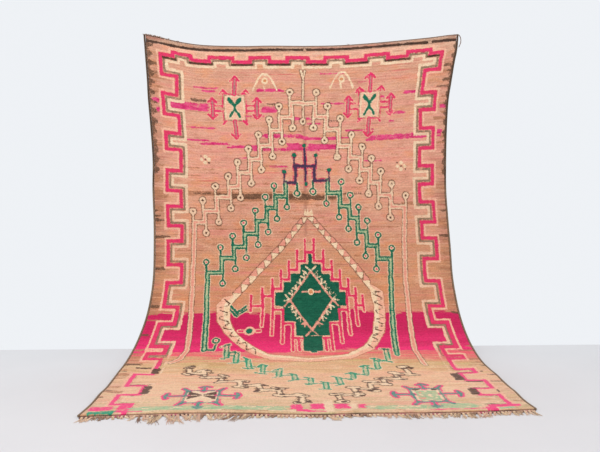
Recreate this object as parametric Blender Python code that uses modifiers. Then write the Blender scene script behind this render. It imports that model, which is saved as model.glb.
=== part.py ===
"""Moroccan pile rug pinned up by its top edge, falling to the floor and running out over it.

Metres, +Z up. The origin is the middle of the top edge, in the plane that it hangs against.
The rug's face looks towards -Y, and the floor is at -HANG_HEIGHT.
"""

import math
import random

import bmesh
import bpy
import numpy as np
from mathutils import Vector

# Driving dimensions
HANG_HEIGHT = 1.745  # middle of the top edge above the floor
PILE_THICKNESS = 0.012
WOVEN_THICKNESS = 0.005  # flat weave of the top end strip and at the very edges
TOP_STRIP = 0.034  # height of the flat-woven strip above the pile
PILE_STEP = 0.006  # the pile rises to its full thickness over this length
BACK_CLEARANCE = 0.009  # back of the hanging part in front of the hanging plane
GAP = 0.0006  # between pieces that touch

SELVEDGE_RADIUS = 0.0055
END_CORD_RADIUS = 0.0025

FRINGE_STRIP_DEPTH = 0.012
FRINGE_STRIP_THICKNESS = 0.005
FRINGE_LOCKS = 110
LOCK_SHARE = 0.56  # of the pitch between locks that a lock's root takes
LOCK_SECTIONS = 2

GRID_COLUMNS = 24
GRID_STEP_HUNG = 0.060
GRID_STEP_SWEEP = 0.036
GRID_STEP_FLOOR = 0.056

# Side profile of the rug's back: distance in front of the hanging plane, and height above the floor
PROFILE = (
    # forward, above_floor
    (0.000, 1.745),
    (0.001, 1.400),
    (0.004, 1.000),
    (0.012, 0.700),
    (0.034, 0.500),
    (0.066, 0.380),
    (0.113, 0.270),
    (0.180, 0.175),
    (0.262, 0.100),
    (0.345, 0.050),
    (0.430, 0.019),
    (0.505, 0.005),
    (0.570, 0.000),
    (0.800, 0.000),
    (1.200, 0.000),
)

# Side edges: how far each lies from the middle, down the rug's length from the top edge
SIDES = (
    # down, left, right
    (-0.09, 0.900, 0.900),
    (0.00, 0.893, 0.893),
    (0.08, 0.887, 0.877),
    (0.20, 0.878, 0.857),
    (0.31, 0.872, 0.840),
    (0.48, 0.857, 0.830),
    (0.66, 0.845, 0.826),
    (0.83, 0.845, 0.826),
    (1.00, 0.838, 0.837),
    (1.17, 0.834, 0.847),
    (1.34, 0.831, 0.849),
    (1.45, 0.836, 0.854),
    (1.56, 0.845, 0.858),
    (1.68, 0.860, 0.864),
    (1.85, 0.880, 0.874),
    (2.02, 0.886, 0.879),
    (2.20, 0.874, 0.866),
    (2.40, 0.866, 0.846),
    (2.56, 0.872, 0.848),
)

# Top edge: the corners are pinned higher than the middle, the right one highest
TOP_EDGE = (
    # across, rise
    (-0.90, 0.056),
    (-0.82, 0.040),
    (-0.69, 0.012),
    (-0.56, -0.003),
    (-0.36, -0.006),
    (-0.19, -0.001),
    (0.00, 0.000),
    (0.20, 0.006),
    (0.38, 0.020),
    (0.57, 0.040),
    (0.74, 0.060),
    (0.90, 0.081),
)
RISE_FADES_OVER = 1.15  # down the rug, the drawn-up rows come level again

# Near end on the floor: its distance in front of the hanging plane
NEAR_END = (
    # across, forward
    (-0.90, 1.030),
    (-0.75, 1.020),
    (-0.50, 1.010),
    (-0.31, 1.015),
    (-0.09, 1.035),
    (0.04, 1.042),
    (0.17, 1.036),
    (0.43, 1.040),
    (0.63, 1.034),
    (0.90, 1.018),
)
NEAR_END_MEAN = 1.028
END_SHAPE_GROWS_OVER = 0.60

# Soft folds of the hanging part: a ridge has a positive height, a trough a negative one
FOLDS = (
    # top_across, low_across, top_down, low_down, half_width, height
    (0.005, 0.020, -0.05, 1.30, 0.022, -0.0045),
    (0.045, 0.060, 0.00, 1.20, 0.035, 0.0030),
    (-0.045, -0.030, 0.05, 1.05, 0.035, 0.0025),
    (-0.860, -0.500, -0.05, 0.70, 0.045, 0.0060),
    (-0.780, -0.330, -0.02, 0.55, 0.040, -0.0040),
    (0.870, 0.560, -0.08, 0.80, 0.050, 0.0060),
    (0.780, 0.330, -0.05, 0.65, 0.045, -0.0040),
    (-0.700, -0.660, 0.45, 1.55, 0.075, 0.0050),
    (0.690, 0.650, 0.40, 1.50, 0.070, 0.0050),
    (-0.300, -0.280, 0.85, 1.60, 0.090, -0.0040),
    (0.330, 0.300, 0.80, 1.60, 0.085, -0.0040),
)
FOLD_FADE = 0.14  # length over which a fold runs out at each end

# Low swells of the part on the floor, under which the rug stands a little off it
SWELLS = (
    # across, down, half_across, half_down, height
    (-0.86, 1.98, 0.060, 0.090, 0.007),
    (-0.87, 2.28, 0.045, 0.060, 0.005),
    (0.86, 2.04, 0.060, 0.100, 0.007),
    (0.84, 2.32, 0.040, 0.060, 0.005),
    (-0.15, 1.86, 0.260, 0.060, 0.004),
    (0.42, 1.84, 0.220, 0.060, 0.004),
)

# Length of the fringe's locks across the near end
LOCK_LENGTHS = (
    # across, length
    (-0.88, 0.050),
    (-0.78, 0.030),
    (-0.70, 0.024),
    (-0.64, 0.062),
    (-0.50, 0.070),
    (-0.38, 0.046),
    (-0.30, 0.060),
    (-0.20, 0.022),
    (-0.06, 0.014),
    (0.02, 0.016),
    (0.06, 0.042),
    (0.14, 0.016),
    (0.26, 0.018),
    (0.34, 0.040),
    (0.52, 0.034),
    (0.60, 0.040),
    (0.74, 0.030),
    (0.88, 0.046),
)
LOCK_UNEVENNESS = 0.30  # share of its length by which a lock may differ
LOCK_LEAN = 0.30  # radians
LOCK_LEAN_PERIOD = 0.80
LOCK_TIP_WIDTH = 0.45  # of the root's width
LOCK_TIP_THICKNESS = 0.0022

# Loose loop of the end cord past the right corner: from the corner of the top edge
LOOP = (
    # across, up
    (0.0085, 0.0000),
    (0.0165, -0.0040),
    (0.0235, -0.0150),
    (0.0265, -0.0300),
    (0.0255, -0.0450),
    (0.0205, -0.0600),
    (0.0135, -0.0740),
)

COLOURS = {
    # name: red, green, blue, roughness
    "pile": (0.72, 0.33, 0.24, 0.95),
    "selvedge": (0.13, 0.075, 0.045, 0.90),
    "end_cord": (0.20, 0.12, 0.08, 0.85),
    "fringe": (0.62, 0.48, 0.36, 0.90),
}


def column(table, index):
    return [row[index] for row in table]


def smooth_step(value):
    value = min(1.0, max(0.0, value))
    return value * value * (3.0 - 2.0 * value)


def smooth_curve(points, steps):
    """Points read from a smooth curve through the given ones."""
    points = [Vector(p) for p in points]
    ends = [points[0] * 2 - points[1]] + points + [points[-1] * 2 - points[-2]]
    curve = []
    for before, start, stop, after in zip(ends, ends[1:], ends[2:], ends[3:]):
        for step in range(steps):
            t = step / steps
            along = (stop - before) * t
            bend = (before * 2 - start * 5 + stop * 4 - after) * t ** 2
            twist = (start * 3 - before - stop * 3 + after) * t ** 3
            curve.append((start * 2 + along + bend + twist) / 2)
    curve.append(points[-1])
    return curve


def arc_lengths(curve):
    lengths = [0.0]
    for a, b in zip(curve, curve[1:]):
        lengths.append(lengths[-1] + (b - a).length)
    return lengths


PROFILE_CURVE = smooth_curve(PROFILE, 12)
PROFILE_LENGTHS = arc_lengths(PROFILE_CURVE)
FLOOR_OFFSET = PROFILE_LENGTHS[-1] - PROFILE[-1][0]  # length along the profile less distance forward
RUG_LENGTH = FLOOR_OFFSET + NEAR_END_MEAN
SWEEP_START, SWEEP_STOP = 1.18, 2.02  # stretch along the profile that bends
SLOPE_STEP = 0.004  # either way along the profile, to read its slope


def profile_at(along):
    """Place on the side profile, which never dips under the floor and runs straight up above its start."""
    away = np.interp(along, PROFILE_LENGTHS, [p.x for p in PROFILE_CURVE])
    height = np.interp(along, PROFILE_LENGTHS, [max(0.0, p.y) for p in PROFILE_CURVE])
    height += max(0.0, -along)
    return away, height


def fold_height(across, down):
    total = 0.0
    for top_across, low_across, top_down, low_down, half_width, height in FOLDS:
        share = (down - top_down) / (low_down - top_down)
        middle = top_across + (low_across - top_across) * share
        ends = smooth_step((down - top_down) / FOLD_FADE) * smooth_step((low_down - down) / FOLD_FADE)
        total += height * ends * math.exp(-((across - middle) / half_width) ** 2)
    return total


def swell_height(across, down):
    total = 0.0
    for at_across, at_down, half_across, half_down, height in SWELLS:
        reach = ((across - at_across) / half_across) ** 2 + ((down - at_down) / half_down) ** 2
        total += height * math.exp(-reach)
    return total if total > 0.0002 else 0.0


def across_at(share, along):
    """Distance from the middle, for a share of the half width at a length along the profile."""
    side = column(SIDES, 1) if share < 0 else column(SIDES, 2)
    return share * np.interp(along, column(SIDES, 0), side)


def back_point(share, down):
    """A point of the rug's back. share is -1 at the left edge and 1 at the right, down is along the cloth."""
    across = across_at(share, down)
    rise = np.interp(across, column(TOP_EDGE, 0), column(TOP_EDGE, 1))
    end = np.interp(across, column(NEAR_END, 0), column(NEAR_END, 1)) - NEAR_END_MEAN
    raised = smooth_step(1.0 - down / RISE_FADES_OVER)
    shifted = smooth_step(1.0 - (RUG_LENGTH - down) / END_SHAPE_GROWS_OVER)
    along = down - rise * raised + end * shifted
    across = across_at(share, along)
    away, height = profile_at(along)
    before_away, before_height = profile_at(along - SLOPE_STEP)
    after_away, after_height = profile_at(along + SLOPE_STEP)
    slope = Vector((after_away - before_away, after_height - before_height)).normalized()
    lift = fold_height(across, down) + swell_height(across, down)
    away -= lift * slope.y
    height += lift * slope.x
    return Vector((across, -BACK_CLEARANCE - away, height - HANG_HEIGHT))


def near_end_point(share):
    """A point of the near end as the sheet's grid has it, straight between its columns."""
    after = next(i for i in range(1, len(SHARES)) if SHARES[i] >= share - 1e-9)
    start, stop = SHARES[after - 1], SHARES[after]
    return back_point(start, RUG_LENGTH).lerp(back_point(stop, RUG_LENGTH), (share - start) / (stop - start))


def grid_rows():
    """Distances down the cloth at which the sheet has a row of points."""
    rows = [0.0, TOP_STRIP, TOP_STRIP + PILE_STEP]
    while rows[-1] < RUG_LENGTH - GRID_STEP_FLOOR:
        down = rows[-1]
        if down < SWEEP_START:
            rows.append(down + GRID_STEP_HUNG)
        elif down < SWEEP_STOP:
            rows.append(down + GRID_STEP_SWEEP)
        else:
            rows.append(down + GRID_STEP_FLOOR)
    rows[-1] = RUG_LENGTH - PILE_STEP
    return rows + [RUG_LENGTH]


def grid_shares():
    """Shares of the half width at which the sheet has a column of points, closer together at the crease."""
    even = [-1 + 2 * i / GRID_COLUMNS for i in range(GRID_COLUMNS + 1)]
    crease = [-0.03, 0.03]
    margins = [-1 + 0.012, 1 - 0.012]
    return sorted(even + crease + margins)


ROWS = grid_rows()
SHARES = grid_shares()


def pile_share(share, down):
    """How much of the pile's height stands at a point: none on the woven strip, less at the edges."""
    if down <= TOP_STRIP + 1e-6:
        return 0.0
    if abs(share) > 0.999 or down >= RUG_LENGTH - 1e-6:
        return 0.55
    return 1.0


def material(name):
    red, green, blue, roughness = COLOURS[name]
    made = bpy.data.materials.new(name)
    made.use_nodes = True
    shader = made.node_tree.nodes["Principled BSDF"]
    shader.inputs["Base Color"].default_value = (red, green, blue, 1.0)
    shader.inputs["Roughness"].default_value = roughness
    shader.inputs["Metallic"].default_value = 0.0
    made.diffuse_color = (red, green, blue, 1.0)
    return made


def add_object(name, data, finish, collection):
    made = bpy.data.objects.new(name, data)
    data.materials.append(material(finish))
    collection.objects.link(made)
    return made


def make_pile_body(collection):
    """The woven rug: a grid laid on the back's shape, thickened to the front."""
    sheet = bmesh.new()
    bmesh.ops.create_grid(sheet, x_segments=len(SHARES) - 1, y_segments=len(ROWS) - 1, size=1.0)
    sheet.verts.ensure_lookup_table()
    places = []
    for vert in sheet.verts:
        i = round((vert.co.x + 1) / 2 * (len(SHARES) - 1))
        j = round((1 - vert.co.y) / 2 * (len(ROWS) - 1))
        places.append((SHARES[i], ROWS[j]))
    for vert, (share, down) in zip(sheet.verts, places):
        vert.co = back_point(share, down)
    mesh = bpy.data.meshes.new("pile_body")
    sheet.to_mesh(mesh)
    sheet.free()
    body = add_object("pile_body", mesh, "pile", collection)
    group = body.vertex_groups.new(name="pile")
    for index, (share, down) in enumerate(places):
        group.add([index], pile_share(share, down), "REPLACE")
    shell = body.modifiers.new("thickness", "SOLIDIFY")
    shell.thickness = PILE_THICKNESS
    shell.offset = 1.0
    shell.vertex_group = "pile"
    shell.thickness_vertex_group = WOVEN_THICKNESS / PILE_THICKNESS
    shell.use_even_offset = True
    mesh.shade_smooth()
    mesh.set_sharp_from_angle(angle=math.radians(50))
    return body


def make_tube(name, points, radius, finish, collection):
    curve = bpy.data.curves.new(name, "CURVE")
    curve.dimensions = "3D"
    curve.bevel_depth = radius
    curve.bevel_resolution = 2
    curve.use_fill_caps = True
    line = curve.splines.new("POLY")
    line.points.add(len(points) - 1)
    for point, place in zip(line.points, points):
        point.co = (*place, 1.0)
    return add_object(name, curve, finish, collection)


def front_direction(share, down):
    """Direction from the back to the front of the cloth near a point of its edge."""
    step = 0.01
    along = back_point(share, down + step) - back_point(share, down - step)
    return Vector((0.0, along.z, -along.y)).normalized()


def make_selvedge(name, side, collection):
    """Cord of overcast warps beside the edge, on the middle of the edge's thickness."""
    edge_middle = (WOVEN_THICKNESS + (PILE_THICKNESS - WOVEN_THICKNESS) * pile_share(1.0, 1.0)) / 2
    centre_out = max(edge_middle, SELVEDGE_RADIUS + GAP)
    points = []
    for down in ROWS:
        edge = back_point(side, down)
        outward = Vector((side * (SELVEDGE_RADIUS + GAP), 0.0, 0.0))
        points.append(edge + outward + front_direction(side, down) * centre_out)
    return make_tube(name, points, SELVEDGE_RADIUS, "selvedge", collection)


def make_end_cord(collection):
    """Cord laced along the top edge, which runs off the right corner in a loose loop."""
    over_edge = Vector((0.0, -WOVEN_THICKNESS / 2, END_CORD_RADIUS + GAP))
    points = [back_point(share, 0.0) + over_edge for share in SHARES]
    corner = points[-1]
    loop = [corner] + [corner + Vector((across, 0.0, up)) for across, up in LOOP]
    points += smooth_curve(loop, 3)[1:]
    return make_tube("end_cord", points, END_CORD_RADIUS, "end_cord", collection)


def lock_length(across, seed):
    length = np.interp(across, column(LOCK_LENGTHS, 0), column(LOCK_LENGTHS, 1))
    return length * (1.0 + LOCK_UNEVENNESS * seed.uniform(-1.0, 1.0))


def make_fringe(collection):
    """Narrow end strip beside the near end, with a lock drawn out of its front for each knot of warps."""
    stations = 2 * FRINGE_LOCKS + 1
    strip = bmesh.new()
    bmesh.ops.create_grid(strip, x_segments=stations, y_segments=1, size=1.0)
    grid_faces = strip.faces[:]
    raised = bmesh.ops.extrude_face_region(strip, geom=grid_faces, use_keep_orig=True)
    top = {item for item in raised["geom"] if isinstance(item, bmesh.types.BMVert)}
    pitch = 2.0 / (FRINGE_LOCKS + (1 - LOCK_SHARE))
    floor = -HANG_HEIGHT
    for vert in strip.verts:
        index = round((vert.co.x + 1) / 2 * stations)
        gaps, locks = (index + 1) // 2, index // 2
        share = -1 + pitch * (gaps * (1 - LOCK_SHARE) + locks * LOCK_SHARE)
        edge = near_end_point(share)
        near = GAP if vert.co.y > 0 else GAP + FRINGE_STRIP_DEPTH
        height = FRINGE_STRIP_THICKNESS if vert in top else 0.0
        vert.co = (edge.x, edge.y - near, floor + height)
    bmesh.ops.recalc_face_normals(strip, faces=strip.faces)
    roots = [f for f in strip.faces if f.normal.y < -0.7]
    roots.sort(key=lambda f: f.calc_center_median().x)
    seed = random.Random(7)
    for root in roots[1::2]:
        draw_lock(strip, root, seed, floor)
    mesh = bpy.data.meshes.new("fringe")
    strip.to_mesh(mesh)
    strip.free()
    return add_object("fringe", mesh, "fringe", collection)


def draw_lock(strip, root, seed, floor):
    """Extrude one lock from its root face, level on the floor and thinner towards its tip."""
    centre = root.calc_center_median()
    half = max(abs(v.co.x - centre.x) for v in root.verts)
    length = lock_length(centre.x, seed)
    sideways = length * math.tan(LOCK_LEAN * math.sin(2 * math.pi * centre.x / LOCK_LEAN_PERIOD))
    face = root
    for section in range(1, LOCK_SECTIONS + 1):
        middle = face.calc_center_median()
        corners = [(v.co.x > middle.x, v.co.z > middle.z) for v in face.verts]
        face = bmesh.ops.extrude_discrete_faces(strip, faces=[face])["faces"][0]
        share = section / LOCK_SECTIONS
        width = half * (1 + (LOCK_TIP_WIDTH - 1) * share)
        thickness = FRINGE_STRIP_THICKNESS + (LOCK_TIP_THICKNESS - FRINGE_STRIP_THICKNESS) * share
        across = centre.x + sideways * share ** 1.5
        for vert, (is_right, is_top) in zip(face.verts, corners):
            vert.co.x = across + (width if is_right else -width)
            vert.co.y = centre.y - length * share
            vert.co.z = floor + (thickness if is_top else 0.0)


def main():
    for old in list(bpy.data.objects):
        bpy.data.objects.remove(old, do_unlink=True)
    rug = bpy.data.collections.new("moroccan_rug")
    bpy.context.scene.collection.children.link(rug)
    make_pile_body(rug)
    make_selvedge("selvedge_left", -1.0, rug)
    make_selvedge("selvedge_right", 1.0, rug)
    make_end_cord(rug)
    make_fringe(rug)


main()
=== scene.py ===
"""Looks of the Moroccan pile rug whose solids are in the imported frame.

Metres, +Z up. The origin is the middle of the top edge, in the plane it hangs against, and the rug's face
looks towards -Y. Its pattern is charted in millimetres of cloth: across, from the middle line, and down, from
the top edge.
"""

import math
import random

import bmesh
import bpy
import mathutils
import numpy as np
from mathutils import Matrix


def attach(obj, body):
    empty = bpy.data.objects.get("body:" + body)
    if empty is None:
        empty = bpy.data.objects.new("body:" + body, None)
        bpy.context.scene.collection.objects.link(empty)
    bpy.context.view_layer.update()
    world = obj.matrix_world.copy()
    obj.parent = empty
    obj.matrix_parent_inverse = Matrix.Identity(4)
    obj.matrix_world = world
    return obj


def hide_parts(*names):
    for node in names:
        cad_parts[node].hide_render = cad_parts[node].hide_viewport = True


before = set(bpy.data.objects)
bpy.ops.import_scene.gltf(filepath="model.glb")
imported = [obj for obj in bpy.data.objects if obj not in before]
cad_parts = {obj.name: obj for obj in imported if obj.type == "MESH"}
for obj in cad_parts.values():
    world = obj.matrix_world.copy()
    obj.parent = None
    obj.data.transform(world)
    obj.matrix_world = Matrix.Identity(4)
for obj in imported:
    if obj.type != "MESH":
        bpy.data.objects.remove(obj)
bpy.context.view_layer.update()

# Driving dimensions, as in the solids
HANG_HEIGHT = 1.745
PILE_THICKNESS = 0.012
WOVEN_THICKNESS = 0.005
TOP_STRIP = 0.034
BACK_CLEARANCE = 0.009
GAP = 0.0006
SELVEDGE_RADIUS = 0.0055
END_CORD_RADIUS = 0.0025
FRINGE_STRIP_DEPTH = 0.012
FRINGE_LOCKS = 110
LOCK_SHARE = 0.56

# Layers of the dressed rug, measured from the rug's back
BACK_LAYER = 0.003  # thickness of the woven back
PILE_BASE = 0.0042  # where the pile piece starts
EDGE_SHARE = 0.55  # of the pile's height at the very edges
EDGE_ROUNDING = 0.009  # length over which the pile rises from an edge
LUMPS = 0.0007  # unevenness of the pile's height
LUMP_WAVES = 16

GRID_COLUMNS = 244
GRID_ROWS = 340
COARSE_STEP = 6  # a slab's plain side keeps one grid line in so many
CHART_HALF_WIDTH = 0.86  # the pattern is charted on a rug of this half width

# Side profile of the rug's back: distance in front of the hanging plane, and height above the floor
PROFILE = (
    # forward, above_floor
    (0.0, 1.745), (0.001, 1.4), (0.004, 1.0), (0.012, 0.7), (0.034, 0.5), (0.066, 0.38),
    (0.113, 0.27), (0.18, 0.175), (0.262, 0.1), (0.345, 0.05), (0.43, 0.019), (0.505, 0.005),
    (0.57, 0.0), (0.8, 0.0), (1.2, 0.0),
)

# Side edges: how far each lies from the middle, down the rug's length
SIDES = (
    # down, left, right
    (-0.09, 0.9, 0.9), (0.0, 0.893, 0.893), (0.08, 0.887, 0.877), (0.2, 0.878, 0.857),
    (0.31, 0.872, 0.84), (0.48, 0.857, 0.83), (0.66, 0.845, 0.826), (0.83, 0.845, 0.826),
    (1.0, 0.838, 0.837), (1.17, 0.834, 0.847), (1.34, 0.831, 0.849), (1.45, 0.836, 0.854),
    (1.56, 0.845, 0.858), (1.68, 0.86, 0.864), (1.85, 0.88, 0.874), (2.02, 0.886, 0.879),
    (2.2, 0.874, 0.866), (2.4, 0.866, 0.846), (2.56, 0.872, 0.848),
)

TOP_EDGE = (
    # across, rise
    (-0.9, 0.056), (-0.82, 0.04), (-0.69, 0.012), (-0.56, -0.003), (-0.36, -0.006), (-0.19, -0.001),
    (0.0, 0.0), (0.2, 0.006), (0.38, 0.02), (0.57, 0.04), (0.74, 0.06), (0.9, 0.081),
)
RISE_FADES_OVER = 1.15

NEAR_END = (
    # across, forward
    (-0.9, 1.03), (-0.75, 1.02), (-0.5, 1.01), (-0.31, 1.015), (-0.09, 1.035), (0.04, 1.042),
    (0.17, 1.036), (0.43, 1.04), (0.63, 1.034), (0.9, 1.018),
)
NEAR_END_MEAN = 1.028
END_SHAPE_GROWS_OVER = 0.6

# Soft folds of the hanging part: a ridge has a positive height, a trough a negative one
FOLDS = (
    # top_across, low_across, top_down, low_down, half_width, height
    (0.005, 0.02, -0.05, 1.3, 0.022, -0.0045), (0.045, 0.06, 0.0, 1.2, 0.035, 0.003),
    (-0.045, -0.03, 0.05, 1.05, 0.035, 0.0025), (-0.86, -0.5, -0.05, 0.7, 0.045, 0.006),
    (-0.78, -0.33, -0.02, 0.55, 0.04, -0.004), (0.87, 0.56, -0.08, 0.8, 0.05, 0.006),
    (0.78, 0.33, -0.05, 0.65, 0.045, -0.004), (-0.7, -0.66, 0.45, 1.55, 0.075, 0.005),
    (0.69, 0.65, 0.4, 1.5, 0.07, 0.005), (-0.3, -0.28, 0.85, 1.6, 0.09, -0.004),
    (0.33, 0.3, 0.8, 1.6, 0.085, -0.004),
)
FOLD_FADE = 0.14

# Low swells of the part on the floor
SWELLS = (
    # across, down, half_across, half_down, height
    (-0.86, 1.98, 0.06, 0.09, 0.007), (-0.87, 2.28, 0.045, 0.06, 0.005),
    (0.86, 2.04, 0.06, 0.1, 0.007), (0.84, 2.32, 0.04, 0.06, 0.005),
    (-0.15, 1.86, 0.26, 0.06, 0.004), (0.42, 1.84, 0.22, 0.06, 0.004),
)

LOCK_LENGTHS = (
    # across, length
    (-0.88, 0.05), (-0.78, 0.03), (-0.7, 0.024), (-0.64, 0.062), (-0.5, 0.07), (-0.38, 0.046),
    (-0.3, 0.06), (-0.2, 0.022), (-0.06, 0.014), (0.02, 0.016), (0.06, 0.042), (0.14, 0.016),
    (0.26, 0.018), (0.34, 0.04), (0.52, 0.034), (0.6, 0.04), (0.74, 0.03), (0.88, 0.046),
)
LOCK_UNEVENNESS = 0.3
LOCK_LEAN = 0.3
LOCK_LEAN_PERIOD = 0.8

# Loose loop of the end cord past the right corner, from the corner of the top edge
LOOP = (
    # across, up
    (0.0085, 0.0), (0.0165, -0.004), (0.0235, -0.015), (0.0265, -0.03), (0.0255, -0.045),
    (0.0205, -0.06), (0.0135, -0.074),
)


def columns(table, *indices):
    return [np.array([row[index] for row in table]) for index in indices]


def smooth_step(value):
    value = np.clip(value, 0.0, 1.0)
    return value * value * (3.0 - 2.0 * value)


def smooth_curve(points, steps):
    """Points read from a smooth curve through the given ones."""
    points = np.array(points, float)
    ends = np.vstack([points[:1] * 2 - points[1:2], points, points[-1:] * 2 - points[-2:-1]])
    share = np.arange(steps)[:, None] / steps
    curve = []
    for before, start, stop, after in zip(ends, ends[1:], ends[2:], ends[3:]):
        along = (stop - before) * share
        bend = (before * 2 - start * 5 + stop * 4 - after) * share ** 2
        twist = (start * 3 - before - stop * 3 + after) * share ** 3
        curve.append((start * 2 + along + bend + twist) / 2)
    return np.vstack([*curve, points[-1:]])


def arc_lengths(curve):
    return np.concatenate([[0.0], np.cumsum(np.linalg.norm(np.diff(curve, axis=0), axis=1))])


# Surface of the rug

PROFILE_CURVE = smooth_curve(PROFILE, 12)
PROFILE_LENGTHS = arc_lengths(PROFILE_CURVE)
RUG_LENGTH = PROFILE_LENGTHS[-1] - PROFILE[-1][0] + NEAR_END_MEAN
SIDE_CURVE = smooth_curve(SIDES, 6)
TOP_CURVE = smooth_curve(TOP_EDGE, 6)
END_CURVE = smooth_curve(NEAR_END, 6)
SLOPE_STEP = 0.004


def profile_at(along):
    away = np.interp(along, PROFILE_LENGTHS, PROFILE_CURVE[:, 0])
    height = np.interp(along, PROFILE_LENGTHS, np.maximum(PROFILE_CURVE[:, 1], 0.0))
    return away, height + np.maximum(0.0, -along)


def fold_height(across, down):
    total = np.zeros(across.shape)
    for top_across, low_across, top_down, low_down, half_width, height in FOLDS:
        share = (down - top_down) / (low_down - top_down)
        middle = top_across + (low_across - top_across) * share
        ends = smooth_step((down - top_down) / FOLD_FADE) * smooth_step((low_down - down) / FOLD_FADE)
        total += height * ends * np.exp(-((across - middle) / half_width) ** 2)
    return total


def swell_height(across, down):
    total = np.zeros(across.shape)
    for at_across, at_down, half_across, half_down, height in SWELLS:
        away = ((across - at_across) / half_across) ** 2 + ((down - at_down) / half_down) ** 2
        total += height * np.exp(-away)
    return np.where(total > 0.0002, total, 0.0)


def across_at(share, along):
    left = np.interp(along, SIDE_CURVE[:, 0], SIDE_CURVE[:, 1])
    right = np.interp(along, SIDE_CURVE[:, 0], SIDE_CURVE[:, 2])
    return share * np.where(share < 0, left, right)


def back_points(share, down):
    """Points of the rug's back. share is -1 at the left edge and 1 at the right, down is along the cloth."""
    share, down = np.broadcast_arrays(np.asarray(share, float), np.asarray(down, float))
    across = across_at(share, down)
    rise = np.interp(across, TOP_CURVE[:, 0], TOP_CURVE[:, 1])
    end = np.interp(across, END_CURVE[:, 0], END_CURVE[:, 1]) - NEAR_END_MEAN
    raised = smooth_step(1.0 - down / RISE_FADES_OVER)
    shifted = smooth_step(1.0 - (RUG_LENGTH - down) / END_SHAPE_GROWS_OVER)
    along = down - rise * raised + end * shifted
    across = across_at(share, along)
    away, height = profile_at(along)
    before_away, before_height = profile_at(along - SLOPE_STEP)
    after_away, after_height = profile_at(along + SLOPE_STEP)
    slope = np.stack([after_away - before_away, after_height - before_height], -1)
    slope /= np.linalg.norm(slope, axis=-1, keepdims=True)
    lift = fold_height(across, down) + swell_height(across, down)
    away = away - lift * slope[..., 1]
    height = height + lift * slope[..., 0]
    return np.stack([across, -BACK_CLEARANCE - away, height - HANG_HEIGHT], -1)


def front_directions(points):
    """Unit directions from the back to the front over a grid of points, rows down the cloth."""
    down = np.gradient(points, axis=0)
    right = np.gradient(points, axis=1)
    normal = np.cross(down, right)
    normal /= np.linalg.norm(normal, axis=-1, keepdims=True)
    return normal


def grid_shares():
    near_edge = [0.0015, 0.004, 0.007]
    inner = np.linspace(-1 + 0.011, 1 - 0.011, GRID_COLUMNS - 8)
    left = [-1.0] + [-1 + e for e in near_edge]
    return np.array([*left, *inner, *(-x for x in reversed(left))])


def grid_downs():
    top = [0.0, 0.006, 0.012, 0.018, 0.024, 0.03]
    top += [TOP_STRIP - 0.0005, TOP_STRIP + 0.001, TOP_STRIP + 0.003]
    end = [RUG_LENGTH - e for e in (0.0085, 0.005, 0.002, 0.0)]
    inner = np.linspace(TOP_STRIP + 0.007, RUG_LENGTH - 0.014, GRID_ROWS - len(top) - len(end))
    return np.array([*top, *inner, *end])


SHARES = grid_shares()
DOWNS = grid_downs()
BACK = back_points(SHARES[None, :], DOWNS[:, None])
FRONT_DIRECTIONS = front_directions(BACK)


def lumps(across, down):
    """Soft unevenness of the pile, from a few crossing waves."""
    seed = random.Random(11)
    total = np.zeros(np.broadcast(across, down).shape)
    for _ in range(LUMP_WAVES):
        turn = seed.uniform(0, math.pi)
        reach = seed.uniform(0.03, 0.12)
        phase = seed.uniform(0, 2 * math.pi)
        ahead = across * math.cos(turn) + down * math.sin(turn) * 1.4
        total += np.sin(2 * math.pi * ahead / reach + phase)
    return total / LUMP_WAVES ** 0.5


def front_height():
    """Height of the rug's face above its back over the grid."""
    across = SHARES[None, :] * CHART_HALF_WIDTH
    down = DOWNS[:, None]
    to_side = CHART_HALF_WIDTH - np.abs(across)
    to_end = RUG_LENGTH - down
    inward = np.clip(np.minimum(to_side, to_end) / EDGE_ROUNDING, 0, 1)
    full = EDGE_SHARE + (1 - EDGE_SHARE) * np.sqrt(1 - (1 - inward) ** 2)
    pile = WOVEN_THICKNESS + (PILE_THICKNESS - WOVEN_THICKNESS) * full
    pile = pile + LUMPS * lumps(across, down) * inward
    on_strip = 1 - smooth_step((down - TOP_STRIP + 0.0005) / 0.006)
    return pile + (WOVEN_THICKNESS - pile) * on_strip


# Pattern, charted from motifs that repeat

FAR = 30.0  # distance where no shape is near
LEAN_FROM = 120  # points further up or down than this shift sideways in a leaning motif
KNOT_ROW = 6.5  # height of a charted row of knots

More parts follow.
